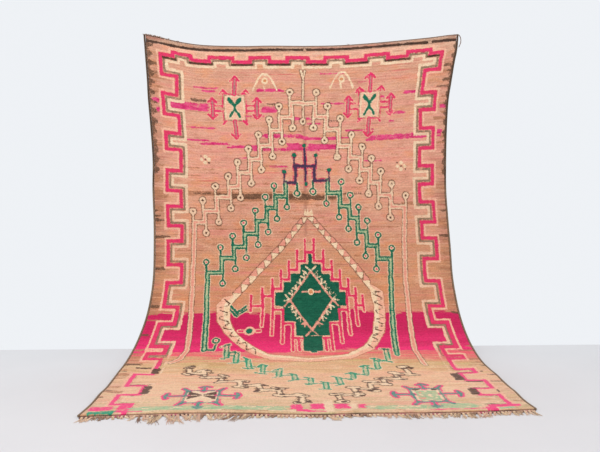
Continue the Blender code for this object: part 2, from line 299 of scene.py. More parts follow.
STYLES = dict(
    # bands of colour, each up to a distance from the drawn line or outline, or between two distances
    cream_stair=dict(dark=16.5, cream=11.8, peach=4.5), cream_stem=dict(dark=10.2, cream=5.6),
    cream_ring=dict(dark=24.5, cream=19, ink=7), green_stair=dict(cream=18, green=14.2, leaf=4.9),
    green_stripe=dict(cream=19, green=15.2, leaf=5.3), green_stem=dict(cream=9.8, green=5.8),
    green_ring=dict(cream=24.2, green=20, ivory=11.2, rose=6.4), green_dot=dict(pink=(13, 18), green=13.5),
    apex_stair=dict(pink=(8.5, 14.5), plum=9), apex_stem=dict(pink=(5, 9), plum=5.5),
    border=dict(blush=(10, 22), pink=(-10, 10), line=(-13.5, -10), olive=(-25, -13), cream=(-39, -25)),
    dash=dict(line=7.8), dash_thin=dict(line=4.4), dash_over=dict(ink=2.6), comb=dict(blush=12.2, rose=7),
    low_comb=dict(blush=12.5, rose=6.6), lozenge=dict(blush=5, green=0), diamond=dict(peach=5.6),
    twig=dict(ivory=4), low_twig=dict(peach=4.2), spot=dict(ivory=18.5), amber_dot=dict(amber=12),
    frame=dict(pink=(9, 15), olive=(1.5, 9.2), blush=1.5, cream=(-7, 1.5)),
    pink_line=dict(blush=9, pink=5.8), pink_arm=dict(blush=16, pink=12.5), pink_heart=dict(heart=5.5),
    leaf_green=dict(cream=10.4, green=6.8), leaf_broad=dict(green=12), band_dark=dict(line=3.4),
    tooth_cream=dict(ivory=-1.2), tooth_peach=dict(peach=-1.2), thin_line=dict(ink=3.4),
    band=dict(tan=3.4, blush=-0.6), band_cream=dict(ivory=-2), stripe=dict(dark=16.5, cream=13, peach=6.5),
    wine=dict(wine=2), brown=dict(dark=1.8), tan=dict(tan=1.2), sprig_green=dict(cream=9.8, green=5.2),
    sprig_heart=dict(leaf=4.6), sprig_cream=dict(dark=16.2, ivory=8.8), sprig_speck=dict(ink=6.6),
    teal_arm=dict(pink=15.8, teal=7), low_frame=dict(pink=(10, 19), teal=(1, 11.5), cream=3),
    speck_peach=dict(peach=8), speck_ivory=dict(ivory=7), low_fill=dict(leaf=0), low_wedge=dict(ink=2.2),
    leaf_bar=dict(leaf=1.5), pink_block=dict(pink=2), cream_block=dict(cream=1.5),
    ivory_bar=dict(ivory=1.5), green_block=dict(green=2), top_line=dict(line=7.4),
    top_cream=dict(blush=4.6), eye=dict(ivory=5.2), petal=dict(ivory=10.8),
    eye_ring=dict(blush=29, green=18), tan_spot=dict(amber=9.8), eye_dark=dict(ink=6),
)


def line_distance(x, y, start, stop):
    """Distance from a straight line between two points."""
    run_x, run_y = stop[0] - start[0], stop[1] - start[1]
    reach = max(run_x ** 2 + run_y ** 2, 1e-12)
    share = np.clip(((x - start[0]) * run_x + (y - start[1]) * run_y) / reach, 0, 1)
    return np.hypot(x - start[0] - share * run_x, y - start[1] - share * run_y)


def square_distance(x, y, start, stop):
    """Distance from a level or upright line, or a box between two corners. It keeps corners square."""
    left, right = sorted((start[0], stop[0]))
    top, bottom = sorted((start[1], stop[1]))
    return np.maximum(np.maximum(left - x, x - right), np.maximum(top - y, y - bottom))


def outline_distance(x, y, points, edge_distance):
    """Distance from a closed outline, negative inside it."""
    away = np.full(np.broadcast(x, y).shape, np.inf)
    inside = np.zeros(away.shape, bool)
    for start, stop in zip(points, [*points[1:], points[0]]):
        away = np.minimum(away, edge_distance(x, y, start, stop))
        if start[1] != stop[1]:
            crosses = (start[1] > y) != (stop[1] > y)
            at = start[0] + (y - start[1]) * (stop[0] - start[0]) / (stop[1] - start[1])
            inside ^= crosses & (x < at)
    return np.where(inside, -away, away)


class Chart:
    """For each layer, the millimetres from its shapes over the cloth's grid, negative inside them."""

    def __init__(self, across, down):
        self.across = across
        self.down = down
        self.layers = {name: np.full((len(down), len(across)), FAR) for name in PALETTE}

    def lay(self, style, points, distance):
        """Lay a style's bands round the shape whose distance the function gives, near its points."""
        reach = FAR + max(np.max(band) for band in STYLES[style].values())
        xs, ys = [p[0] for p in points], [p[1] for p in points]
        i = slice(*np.searchsorted(self.across, (min(xs) - reach, max(xs) + reach)))
        j = slice(*np.searchsorted(self.down, (min(ys) - reach, max(ys) + reach)))
        away = distance(self.across[None, i], self.down[j, None])
        for layer, band in STYLES[style].items():
            if isinstance(band, tuple):
                value = np.abs(away - sum(band) / 2) - (band[1] - band[0]) / 2
            else:
                value = away - band
            part = self.layers[layer][j, i]
            np.minimum(part, value, out=part)

    def line(self, style, *points):
        for start, stop in zip(points, points[1:]):
            self.lay(style, (start, stop), lambda x, y: line_distance(x, y, start, stop))

    def square_line(self, style, *points):
        for start, stop in zip(points, points[1:]):
            self.lay(style, (start, stop), lambda x, y: square_distance(x, y, start, stop))

    def box(self, style, left, right, top, bottom):
        corners = (left, top), (right, bottom)
        self.lay(style, corners, lambda x, y: square_distance(x, y, *corners))

    def dot(self, style, across, down, tall=1.0):
        """A round spot, or one that is taller than wide."""
        self.lay(style, [(across, down)], lambda x, y: np.hypot(x - across, (y - down) / tall))

    def outline(self, style, points):
        self.lay(style, points, lambda x, y: outline_distance(x, y, points, line_distance))

    def square_outline(self, style, points):
        self.lay(style, points, lambda x, y: outline_distance(x, y, points, square_distance))

    def draw(self, shapes, across, down, lean=0):
        """Lines given from a middle, also mirrored across (x), down (y) or both. Their far ends can lean."""
        for style, mirrored, *points in shapes:
            for side in (1, -1) if "x" in mirrored else (1,):
                for up in (1, -1) if "y" in mirrored else (1,):
                    self.line(style, *(
                        (across + side * x + lean * (abs(y) > LEAN_FROM), down + up * y) for x, y in points
                    ))

    def streak(self, style, left, right, top, bottom, ragged, seed):
        """Rows of one colour whose ends are ragged, as a dyed yarn that starts and stops anywhere."""
        for count in range(max(1, round((bottom - top) / KNOT_ROW))):
            start = left + seed.uniform(-ragged, ragged)
            stop = right + seed.uniform(-ragged, ragged)
            y = top + KNOT_ROW * count
            if stop > start:
                self.box(style, start, stop, y, y + KNOT_ROW * 1.05)


OUTER, INNER = 785, 705  # the side borders' line stands at one or the other

# Down the rug, where each side border's line steps in, out, in and so on from its corner
LEFT_STEPS = (
    200, 304, 417, 518, 608, 725, 838, 925, 1036, 1122, 1257, 1361,
    1502, 1604, 1755, 1805, 1850, 2010, 2175, 2295, 2410,
)
RIGHT_STEPS = (
    183, 307, 401, 500, 608, 704, 804, 901, 1015, 1106, 1226, 1356,
    1505, 1605, 1775, 1845, 1872, 1985, 2036, 2148, 2262, 2345, 2466,
)

# Where the top border's line goes from low to high, low and so on, from the left corner
TOP_STEPS = (
    -720, -618, -519, -389, -293, -184, -87, 31, 126, 252, 356, 482, 591, 721,
)
TOP_LOW, TOP_HIGH = 90, 66
PAST_END = 2620  # the side borders run past the near end


def stepped(first, steps, one, other):
    """Points of a line that changes between two levels at each step: (place along, level)."""
    levels = [one, other]
    points = [(first, one)]
    for count, step in enumerate(steps):
        points += [(step, levels[count % 2]), (step, levels[(count + 1) % 2])]
    return points


def chart_border(chart):
    """The meander that frames the field on three sides."""
    seed = random.Random(13)
    left = [(-x, down) for down, x in stepped(TOP_LOW, LEFT_STEPS, OUTER, INNER)]
    right = [(x, down) for down, x in stepped(TOP_LOW, RIGHT_STEPS, OUTER, INNER)]
    top = stepped(-OUTER, TOP_STEPS, TOP_LOW, TOP_HIGH)
    outline = [*top, *right, (right[-1][0], PAST_END), (left[-1][0], PAST_END), *reversed(left)]
    chart.square_outline("border", outline)
    edges = [-OUTER, *TOP_STEPS, OUTER]
    for start, stop in zip(edges[::2], edges[1::2]):
        chart.square_line("dash", (start - 6, TOP_LOW + 15.5), (stop + 10, TOP_LOW + 15.5))
    on_floor = smooth_step((chart.down - 1800) / 60)[:, None]
    chart.layers["cream"] += 4 * on_floor
    chart.layers["olive"] += 5 * on_floor
    for place in (
        (-712, -684, 1945, 1996), (-702, -676, 2182, 2286), (664, 696, 2036, 2140),
        (678, 706, 2264, 2338),
    ):
        chart.streak("dash_over", *place, 5, seed)
    for left, right, down in (
        (-790, -700, 1934), (-780, -700, 2164), (-800, -712, 2288), (700, 815, 2026), (705, 790, 2158),
        (700, 785, 2254),
    ):
        chart.streak("dash_thin", left, right, down, down + 7, 8, seed)
    chart.square_line("dash_thin", (798, 2170), (798, 2320))


MARGIN_ROWS = 112  # brown rows down each upper selvedge
TOOTH_PITCH = 52


def chart_margins(chart):
    """Brown rows that run in from the upper selvedges in teeth, with a few wine-red knots among them."""
    seed = random.Random(5)
    edge = CHART_HALF_WIDTH * 1000 + 10
    for side, first in ((-1, 20), (1, 32)):
        for row in range(MARGIN_ROWS):
            down = first + KNOT_ROW * row
            tooth = abs(math.sin(math.pi * (down - first) / TOOTH_PITCH)) ** 2
            grow = seed.uniform(0.5, 1.3)
            reach = 6 + 23 * tooth * grow if side < 0 else 1 + 12 * tooth * grow
            reach += seed.uniform(0, 5)
            if row > 30 and seed.random() < 0.15:
                reach *= 0.3
            left, right = sorted((side * edge, side * (edge - 10 - reach)))
            chart.box("brown", left, right, down, down + 6.8)
        for _ in range(64 if side < 0 else 34):
            down = seed.uniform(100, 2440)
            reach = seed.uniform(20, 80)
            left, right = sorted((side * edge, side * (edge - 10 - reach)))
            style = seed.choice(("tan", "tan", "tan", "brown"))
            chart.streak(style, left, right, down, down + seed.choice((7, 14)), 14, seed)
    for across, down, half in (
        (-826, 347, 22), (-815, 395, 10), (835, 385, 20), (820, 520, 14),
    ):
        chart.streak("wine", across - half, across + half, down - 8, down + 9, 6, seed)


# Corners of the staircases, from the middle outwards: where each tread ends
CREAM_LEFT = (
    # across, down
    (-65, 327), (-128, 409), (-184, 487), (-249, 573), (-308, 651), (-372, 728), (-427, 811), (-501, 870),
    (-574, 951), (-633, 1014),
)
CREAM_RIGHT = (
    # across, down
    (71, 329), (139, 408), (216, 481), (284, 577), (350, 646), (406, 714), (462, 789), (530, 861),
    (612, 927),
)
GREEN_LEFT = (
    # across, down
    (-42, 690), (-100, 786), (-159, 865), (-211, 932), (-270, 1008), (-340, 1080), (-404, 1155),
    (-474, 1220), (-556, 1304),
)
GREEN_RIGHT = (
    # across, down
    (70, 691), (150, 775), (223, 845), (278, 922), (326, 990), (375, 1068), (435, 1149), (512, 1225),
)
LEFT_STRIPE = (
    # across, down
    (-633, 1014), (-637, 1200), (-642, 1310), (-633, 1495), (-612, 1644), (-597, 1781), (-612, 1850),
    (-650, 1885),
)
RIGHT_STRIPE = (
    # across, down
    (612, 927), (597, 1112), (592, 1300), (589, 1486), (574, 1655), (559, 1799), (575, 1930),
)
STEM = 47  # from a corner to the start of its ring
STEM_SHIFT = 8  # a stem stands on the outer edge of its line
RING_RISE = 62


def chart_stair(chart, kind, middle, corners):
    """A staircase from the middle down to one side, with ringed stems on its outer and inner corners."""
    side = math.copysign(1, corners[0][0] - middle)
    inner = middle
    for count, (across, down) in enumerate(corners):
        below = corners[count + 1][1] if count + 1 < len(corners) else down
        dotted = kind == "green" and count < 2
        name = "apex" if dotted else kind
        drop = "apex" if dotted and count == 0 else kind
        ring = "green_dot" if dotted else kind + "_ring"
        chart.square_line(name + "_stair", (inner, down), (across, down))
        chart.square_line(drop + "_stair", (across, down), (across, below))
        outer_x = across + side * STEM_SHIFT
        chart.square_line(name + "_stem", (outer_x, down), (outer_x, down - STEM))
        chart.dot(ring, outer_x, down - RING_RISE)
        if below > down:
            inner_x = across - side * STEM_SHIFT
            chart.square_line(kind + "_stem", (inner_x, below), (inner_x, below + STEM))
            chart.dot(kind + "_ring", inner_x, below + RING_RISE)
        inner = across


def chart_stairs(chart):
    for cream, green, stripe in (
        (CREAM_LEFT, GREEN_LEFT, LEFT_STRIPE),
        (CREAM_RIGHT, GREEN_RIGHT, RIGHT_STRIPE),
    ):
        chart_stair(chart, "cream", 1, cream)
        chart_stair(chart, "green", 18, green)
        chart.line("stripe", *stripe)
    chart.line("green_stripe", (-556, 1304), (-554, 1421), (-535, 1600), (-511, 1782))
    chart.line("green_stripe", (512, 1225), (503, 1409), (489, 1563), (459, 1833))
    chart.line("green_stem", (-511, 1782), (-462, 1786), (-458, 1745))
    chart.dot("green_ring", -462, 1715)
    chart.line("cream_stem", (1, 175), (1, 410))
    chart.line("cream_stem", (-13, 142), (1, 196), (15, 142))
    chart.dot("cream_ring", 1, 432)
    chart.line("apex_stair", (10, 590), (20, 775))
    chart.dot("green_dot", 8, 572)
    chart.dot("green_dot", 21, 793)


BOX_MOTIF = (
    # style, how mirrored, points from the middle: across and down
    ("pink_arm", "y", (0, 78), (0, 156)), ("pink_heart", "y", (0, 78), (0, 160)),
    ("pink_line", "xy", (28, 152), (0, 180)),
    ("pink_line", "x", (66, -10), (126, -10)), ("pink_line", "x", (66, 20), (126, 20)),
    ("pink_arm", "x", (126, -30), (126, 44)), ("pink_heart", "x", (126, -36), (126, 48)),
    ("pink_line", "x", (102, 42), (126, 68), (150, 42)),
    ("pink_line", "x", (102, -30), (126, -56), (150, -30)),
    ("pink_line", "x", (42, -80), (64, -102), (84, -76)), ("pink_line", "x", (48, 76), (68, 96)),
    ("leaf_green", "x", (0, 0), (5, -18), (24, -32), (32, -54)), ("leaf_broad", "x", (17, -31), (28, -45)),
    ("leaf_green", "x", (0, 0), (5, 18), (18, 32), (29, 54)),
)


def chart_box_motif(chart, across, down, lean):
    """A small framed box with a green sprig, arrow arms above and below, and arrow bars at its sides."""
    chart.draw(BOX_MOTIF, across, down, lean)
    chart.box("frame", across - 54, across + 54, down - 66, down + 66)
    chart.dot("leaf_broad", across, down - 14)


BIRD = (
    # style, how mirrored, points from the middle: across and down
    ("eye", "", (-14, -42), (14, -42)), ("eye", "x", (14, -42), (34, -20), (52, 14), (68, 50)),
    ("eye", "", (-6, 28), (-2, 50)),
)


def chart_small_motifs(chart):
    chart_box_motif(chart, -386, 353, 4)
    chart_box_motif(chart, 396, 348, -4)
    for across, down in ((-214, 204), (226, 196)):
        chart.draw(BIRD, across, down)
        chart.dot("spot", across, down - 2, 1.15)
        chart.dot("tan_spot", across, down - 4)
    for across, down in ((-567, 654), (594, 701)):
        for step_across, step_down in ((-21, 0), (21, 0), (0, -18), (0, 18)):
            chart.dot("petal", across + step_across, down + step_down)
        for side in (-1, 0, 1):
            chart.dot("eye_dark", across + side * 23.1, down + side * 18.9)
    chart.line("green_stem", (-412, 1520), (-374, 1560), (-322, 1520))
    chart.line("leaf_green", (-408, 1500), (-372, 1540), (-326, 1500))
    for side in (-1, 1):
        chart.line("low_comb", (-294 + side * 36, 1654), (-294 + side * 56, 1654))
    chart.dot("eye_ring", -294, 1654)


# The pear-shaped ring's inner and outer edge, from its tip down each side
PEAR_LEFT = (
    # inner across, inner down, outer across, outer down
    (30, 988, 24, 932), (-94, 1148, -110, 1092), (-249, 1309, -275, 1256), (-379, 1450, -440, 1424),
    (-416, 1498, -492, 1496), (-408, 1580, -480, 1580), (-375, 1650, -425, 1665),
    (-311, 1720, -340, 1755), (-255, 1768, -270, 1815), (-177, 1825, -175, 1872), (20, 1858, 20, 1892),
)
PEAR_RIGHT = (
    # inner across, inner down, outer across, outer down
    (30, 988, 40, 932), (104, 1078, 130, 1040), (184, 1160, 226, 1130), (290, 1280, 348, 1275),
    (378, 1400, 455, 1418), (395, 1497, 453, 1500), (386, 1580, 446, 1590), (364, 1675, 428, 1668),
    (302, 1765, 350, 1790), (210, 1826, 225, 1866), (20, 1858, 20, 1892),
)
PEAR_FIRST, PEAR_LAST = 50, 68  # pitch of the steps, at the tip and below
STEPPED_LEFT, STEPPED_RIGHT = 650, 545  # length of ring from its tip with steps, and below it a band
PITCH_GROWS_OVER = 500
ZIGZAG = 360  # length of band with zigzag lines


def chart_pear(chart):
    """The ring round the lozenge: steps on its inner line, cream within salmon, then a soft band."""
    for table, stepped_length in ((PEAR_LEFT, STEPPED_LEFT), (PEAR_RIGHT, STEPPED_RIGHT)):
        edges = np.array(table)
        inner, outer = edges[:, :2], edges[:, 2:]
        middle = (inner + outer) / 2
        lengths = arc_lengths(inner)

        def at(side, place):
            return tuple(float(np.interp(place, lengths, side[:, axis])) for axis in (0, 1))

        def below(side, place):
            return [at(side, place), *(tuple(p) for p, along in zip(side, lengths) if along > place)]

        start, stop = stepped_length - 80, stepped_length - 12
        chart.outline("band", below(inner, start) + below(outer, stop)[::-1])
        chart.outline("band_cream", below(inner, start) + below(middle, stop)[::-1])
        places = [0]
        while places[-1] < stepped_length:
            grown = min(1.0, places[-1] / PITCH_GROWS_OVER)
            places.append(places[-1] + PEAR_FIRST + (PEAR_LAST - PEAR_FIRST) * grown)
        feet = [at(inner, place * stepped_length / places[-1]) for place in places]
        out = math.copysign(7, outer[5, 0])
        corners = [(after[0] + out, foot[1] - 4) for foot, after in zip(feet, feet[1:])]
        for count, corner in enumerate(corners):
            step = [feet[count], corner, feet[count + 1]]
            chart.outline("band_dark", step)
            chart.outline("tooth_cream", step)
            if count:
                gap = [corners[count - 1], feet[count], corner]
                chart.outline("band_dark", gap)
                chart.outline("tooth_peach", gap)
        place, pitch, flip = stepped_length - 10, 28, 0
        while place < stepped_length + ZIGZAG:
            one, other = (inner, outer) if flip % 2 else (outer, inner)
            start, stop = np.array(at(one, place)), np.array(at(other, place + pitch))
            chart.line("thin_line", *(tuple(start + (stop - start) * share) for share in (0.18, 0.82)))
            place += pitch
            flip += 1
    for across in (14, 32, 50):
        chart.outline("tooth_cream", [(across - 13, 976), (across, 926), (across + 13, 976)])


LOZENGE = (
    # left, right, top, bottom
    (31, 53, 1197, 1300), (-17, 105, 1255, 1360), (-73, 155, 1311, 1593), (-114, 205, 1360, 1593),
    (-162, 246, 1418, 1500), (-45, 140, 1593, 1687), (-7, 93, 1687, 1799), (30, 58, 1795, 1812),
)

# Prongs of the comb round the lozenge, from the middle outwards
COMB = (
    # left across, right across, tip of the prong, foot of the prong
    (12, 64, 1113, 1187), (-34, 118, 1177, 1239), (-82, 166, 1238, 1289), (-129, 213, 1293, 1345),
    (-179, 258, 1343, 1399), (-235, 297, 1396, 1440), (-299, 334, 1439, 1497),
)
LOW_COMB = (
    # left across, right across, foot of the prong, tip of the prong
    (-297, 336, 1497, 1530), (-230, 292, 1442, 1622), (-174, 245, 1400, 1680), (-116, 196, 1524, 1736),
    (-62, 142, 1606, 1796), (-30, 110, 1706, 1796),
)
LOW_BARS = (
    # start, stop, down
    (-174, -116, 1522), (196, 245, 1522), (-116, -62, 1606), (142, 196, 1606), (-62, -12, 1704),
    (98, 142, 1704),
)


def chart_lozenge(chart):
    """The stepped green lozenge, its comb of prongs, and the ticked diamond within."""
    for count, (left, right, tip, foot) in enumerate(COMB):
        below = COMB[count + 1][3] if count + 1 < len(COMB) else foot
        for across, inner in ((left, COMB[count - 1][0]), (right, COMB[count - 1][1])):
            chart.square_line("comb", (across, tip), (across, below))
            if count:
                chart.square_line("comb", (inner, foot), (across, foot))
    chart.square_line("comb", (COMB[0][0], COMB[0][3]), (COMB[0][1], COMB[0][3]))
    for left, right, foot, tip in LOW_COMB:
        for across in (left, right):
            chart.square_line("low_comb", (across, foot), (across, tip - 12))
            chart.line("low_comb", (across, tip - 12), (across, tip))
    for start, stop, down in LOW_BARS:
        chart.square_line("low_comb", (start, down), (stop, down))
    for place in LOZENGE:
        chart.box("lozenge", *place)
    top, left, right, bottom = (44, 1296), (-78, 1464), (164, 1462), (42, 1648)
    chart.line("diamond", top, left, bottom, right, top)
    chart.line("twig", (14, 1268), top, (74, 1268))
    chart.line("twig", (28, 1318), (0, 1290))
    chart.line("twig", (60, 1318), (88, 1290))
    for (x, y), side in ((left, -1), (right, 1)):
        chart.line("diamond", (x, y), (x + side * 30, y + 36))
        chart.line("twig", (x, y), (x + side * 24, y - 30))
        chart.line("twig", (x + side * 10, y), (x + side * 34, y + 4))
    chart.line("low_twig", (8, 1688), bottom, (74, 1688))
    for start, stop, side in ((top, left, -1), (top, right, 1), (bottom, left, -1), (bottom, right, 1)):
        for share in (0.26, 0.46, 0.66, 0.84):
            x = start[0] + (stop[0] - start[0]) * share
            y = start[1] + (stop[1] - start[1]) * share
            up = -1 if start is top else 1
            style = "low_twig" if start is bottom and share < 0.4 else "twig"
            chart.line(style, (x, y), (x + side * 26, y + up * 14))
            chart.line(style, (x + side * 2, y + up * 4), (x + side * 8, y + up * 30))
    chart.square_line("diamond", (-4, 1416), (94, 1416))
    chart.dot("spot", 43, 1418)
    chart.dot("amber_dot", 43, 1418)


# Dyed yarns that ran out: streaks of another colour along the rows
STREAKS = (
    # style, left, right, top, bottom, raggedness
    ("wine", -755, -536, 336, 372, 14), ("wine", -235, -146, 350, 384, 10),
    ("wine", -620, -480, 238, 245, 20), ("wine", -565, -480, 256, 262, 12),
    ("wine", -270, -122, 248, 261, 20), ("wine", -720, -530, 470, 477, 30),
    ("wine", -330, -240, 400, 406, 30), ("wine", -722, -560, 542, 549, 20),
    ("wine", -560, -400, 556, 568, 40), ("wine", -450, -215, 572, 584, 40),
    ("wine", -220, -10, 508, 526, 50), ("wine", -320, 40, 590, 603, 60),
    ("wine", -100, -10, 560, 592, 20), ("wine", 48, 236, 566, 594, 20), ("wine", -20, 260, 526, 536, 40),
    ("wine", 380, 700, 524, 549, 22), ("wine", 690, 850, 540, 546, 20), ("wine", 600, 695, 288, 299, 14),
    ("wine", 520, 600, 396, 409, 14), ("wine", 522, 545, 445, 454, 4), ("wine", 85, 236, 328, 336, 30),
    ("wine", -190, -90, 690, 696, 30), ("wine", 250, 420, 486, 493, 30),
    ("brown", -632, -545, 310, 323, 4), ("brown", -200, -160, 332, 338, 4),
    ("brown", 170, 236, 430, 437, 10), ("tan", -870, -780, 836, 880, 20),
    ("tan", -690, -420, 836, 860, 50), ("brown", -640, -470, 846, 854, 40),
    ("brown", -480, -20, 852, 878, 60), ("tan", -420, 50, 840, 892, 60), ("tan", 20, 260, 850, 890, 60),
    ("brown", 40, 220, 860, 880, 50), ("brown", -80, 80, 850, 884, 30), ("wine", -50, -20, 412, 422, 4),
    ("wine", 22, 48, 412, 422, 4), ("brown", 220, 350, 846, 853, 30), ("tan", -870, -800, 925, 950, 15),
    ("tan", 560, 700, 902, 912, 40), ("tan", -560, -300, 1050, 1057, 60),
    ("tan", 120, 330, 1335, 1342, 60),
)


def chart_abrash(chart):
    seed = random.Random(3)
    for streak in STREAKS:
        chart.streak(*streak, seed)
    for _ in range(34):
        across = seed.uniform(-700, 660)
        down = seed.uniform(620, 1500)
        half = seed.uniform(30, 120)
        chart.box("tan", across - half, across + half, down, down + 3.6)
    for _ in range(60):
        across = seed.uniform(-640, 600)
        down = seed.uniform(120, 1480)
        half = seed.uniform(10, 70)
        style = seed.choice(("wine", "tan", "tan")) if down < 700 else "tan"
        chart.box(style, across - half, across + half, down, down + 4.2)


BROKEN_GREEN = (
    # across, down
    (-403, 1805), (-350, 1850), (-285, 1905), (-215, 1958), (-140, 2015), (-70, 2065), (0, 2130),
    (62, 2190), (128, 2130), (196, 2065), (265, 1992), (332, 1925), (398, 1850),
)
BROKEN_CREAM = (
    # across, down
    (-545, 1975), (-470, 2020), (-385, 2090), (-300, 2160), (-215, 2215), (-130, 2280), (-40, 2350),
    (115, 2350), (190, 2280), (265, 2210), (335, 2140), (405, 2060), (470, 1995),
)


def chart_sprigs(chart, style, places, tall, seed):
    """Small upright sprigs with short feet and arms, joined along an arc."""
    green = style == "sprig_green"
    for count, (across, down) in enumerate(places):
        lean = seed.uniform(-9, 9)
        top = (across + lean, down - tall * seed.uniform(0.75, 1.1))
        foot = (across - lean, down + tall * seed.uniform(0.75, 1.1))
        chart.line(style, top, foot)
        if green:
            chart.line("sprig_heart", (across + 9, down - tall * 0.6), (across + 9, down + tall * 0.6))
            chart.line(style, (across + 19 + lean, top[1] + 10), (across + 19 - lean, foot[1] - 10))
        for (x, y), up in ((top, -1), (foot, 1)):
            for side in (-1, 1):
                end = (x + side * 24 * seed.uniform(0.5, 1.2), y + up * seed.uniform(-20, 12))
                chart.line(style, end, (x, y))
        if not green:
            for _ in range(7):
                speck = (across + seed.uniform(-26, 26), down + tall * seed.uniform(-1.1, 1.1))
                chart.line("sprig_speck", speck, (speck[0] + 12, speck[1]))
        before = places[max(count - 1, 0)]
        if 0 < across - before[0] < 120:
            middle = (before[1] + down) / 2
            chart.line(style, (before[0] + 10, middle), (across - 4, middle + 3))


def chart_low_box(chart, across, down, open_box, seed):
    """A broad framed box, its arms ending in small arrowheads. The left one holds a bow of four wedges."""
    half_across, half_down = (56, 74) if open_box else (62, 70)
    left, right = across - half_across, across + half_across
    top, bottom = down - half_down, down + half_down
    arm, tip = half_across + 88, half_down + 68
    arms = (
        ("xy", (half_across, half_down), (half_across + 22, half_down + 34)),
        ("x", (half_across, -10), (arm, -10)),
        ("x", (arm - 8, -42), (arm, -10), (arm - 8, 22)),
        ("y", (0, half_down), (0, tip)),
        ("y", (-16, tip - 14), (0, tip), (20, tip - 14)),
    )
    chart.draw([("teal_arm", *arm) for arm in arms], across, down)
    chart.box("low_frame", left, right, top, bottom)
    if open_box:
        chart.box("low_fill", left + 10, right - 10, top + 22, bottom - 8)
        for _ in range(16):
            style = seed.choice(("speck_peach", "speck_ivory", "speck_ivory"))
            chart.dot(style, seed.uniform(left + 12, right - 12), seed.uniform(top + 30, bottom - 20))
        chart.outline("low_wedge", [(left - 10, top - 14), (left + 46, top - 4), (left + 12, top + 24)])
        chart.outline("low_wedge", [(right - 6, top - 20), (right - 30, top + 14), (right - 4, top + 22)])
        return
    middle = down - 16
    for side in (-1, 1):
        inner, outer = across + side * 5, across + side * (half_across - 6)
        for up in (-1, 1):
            near, far = middle + up * 7, middle + up * 50
            chart.outline("low_wedge", [(inner, near), (outer, near), (outer, far)])


def chart_floor_part(chart):
    """The weaver's looser work near the end: broken staircases, two broad boxes and the closing bands."""
    seed = random.Random(21)
    chart_sprigs(chart, "sprig_green", BROKEN_GREEN, 56, seed)
    chart_sprigs(chart, "sprig_cream", BROKEN_CREAM, 54, seed)
    chart_low_box(chart, -446, 2336, False, seed)
    chart_low_box(chart, 486, 2328, True, seed)
    for place in ((-690, -100, 2446, 2484), (215, 660, 2448, 2482)):
        chart.streak("leaf_bar", *place, 20, seed)
    for _ in range(30):
        across = seed.choice((seed.uniform(-680, -120), seed.uniform(220, 620)))
        half = seed.uniform(5, 16)
        row = seed.choice((2450, 2459, 2468, 2477))
        chart.box("ivory_bar", across - half, across + half, row, row + 4.2)
    chart.streak("green_block", -830, -745, 2484, 2502, 8, seed)
    chart.streak("leaf_bar", 520, 645, 2430, 2448, 16, seed)
    chart.streak("leaf_bar", 724, 784, 2487, 2500, 8, seed)
    for place in (
        (-86, -44, 2425, 2470), (-12, 36, 2410, 2466), (86, 140, 2422, 2468), (178, 206, 2430, 2466),
        (-60, -20, 2474, 2494), (676, 715, 2478, 2502), (690, 822, 2460, 2480), (-852, -768, 2434, 2474),
        (-744, -716, 2424, 2494),
    ):
        chart.streak("pink_block", *place, 5, seed)
    chart.streak("cream_block", 42, 76, 2380, 2494, 6, seed)
    chart.streak("cream_block", 144, 172, 2420, 2470, 6, seed)
    for _ in range(26):
        across = seed.uniform(-820, 820)
        half = seed.uniform(12, 60)
        style = seed.choice(("pink_block", "tan", "cream_block"))
        chart.box(style, across - half, across + half, 2488, 2493.5)


TOP_LINE = (
    # across, down
    (-900, 36), (-700, 27), (-450, 22), (0, 18), (400, 19), (660, 21), (900, 27),
)


def chart_top(chart):
    """Brown line along the flat-woven strip."""
    chart.line("top_line", *TOP_LINE)
    chart.line("top_cream", *((across, down + 14) for across, down in TOP_LINE[1:-1]))


def make_chart():
    """Distances from each layer's shapes, in metres over the grid."""
    chart = Chart(SHARES * CHART_HALF_WIDTH * 1000, DOWNS * 1000)
    chart_abrash(chart)
    chart_margins(chart)
    chart_top(chart)
    chart_border(chart)
    chart_pear(chart)
    chart_stairs(chart)
    chart_small_motifs(chart)
    chart_lozenge(chart)
    chart_floor_part(chart)
    return {name: away / 1000 for name, away in chart.layers.items()}


# Meshes

def new_mesh(name, points, faces):
    mesh = bpy.data.meshes.new(name)
    mesh.from_pydata(points.tolist(), [], [[int(i) for i in face] for face in faces])
    return mesh


def new_object(name, mesh, finish):
    made = bpy.data.objects.new(name, mesh)
    mesh.materials.append(finish)
    bpy.context.scene.collection.objects.link(made)
    for face in mesh.polygons:
        face.use_smooth = True
    return made


def zipped(one, one_places, other, other_places):
    """Triangles between two rows of points, each with its places along the row."""
    faces = []
    i = j = 0
    while i < len(one) - 1 or j < len(other) - 1:
        on_one = i < len(one) - 1
        if j == len(other) - 1 or (on_one and one_places[i + 1] <= other_places[j + 1]):
            faces.append((one[i], one[i + 1], other[j]))
            i += 1
        else:
            faces.append((one[i], other[j + 1], other[j]))
            j += 1
    return faces


def grid_faces(ids):
    """Quads over a grid of point numbers."""
    corners = ids[:-1, :-1], ids[:-1, 1:], ids[1:, 1:], ids[1:, :-1]
    return np.stack([c.ravel() for c in corners], 1).tolist()


def edge_rows(ids):
    """The four edges of a grid of point numbers."""
    return ids[0, :], ids[-1, :], ids[:, 0], ids[:, -1]


def kept_lines(count):
    """Numbers of the grid's lines that the coarse side keeps."""
    return np.unique(np.append(np.arange(1, count - 1, COARSE_STEP), count - 2))


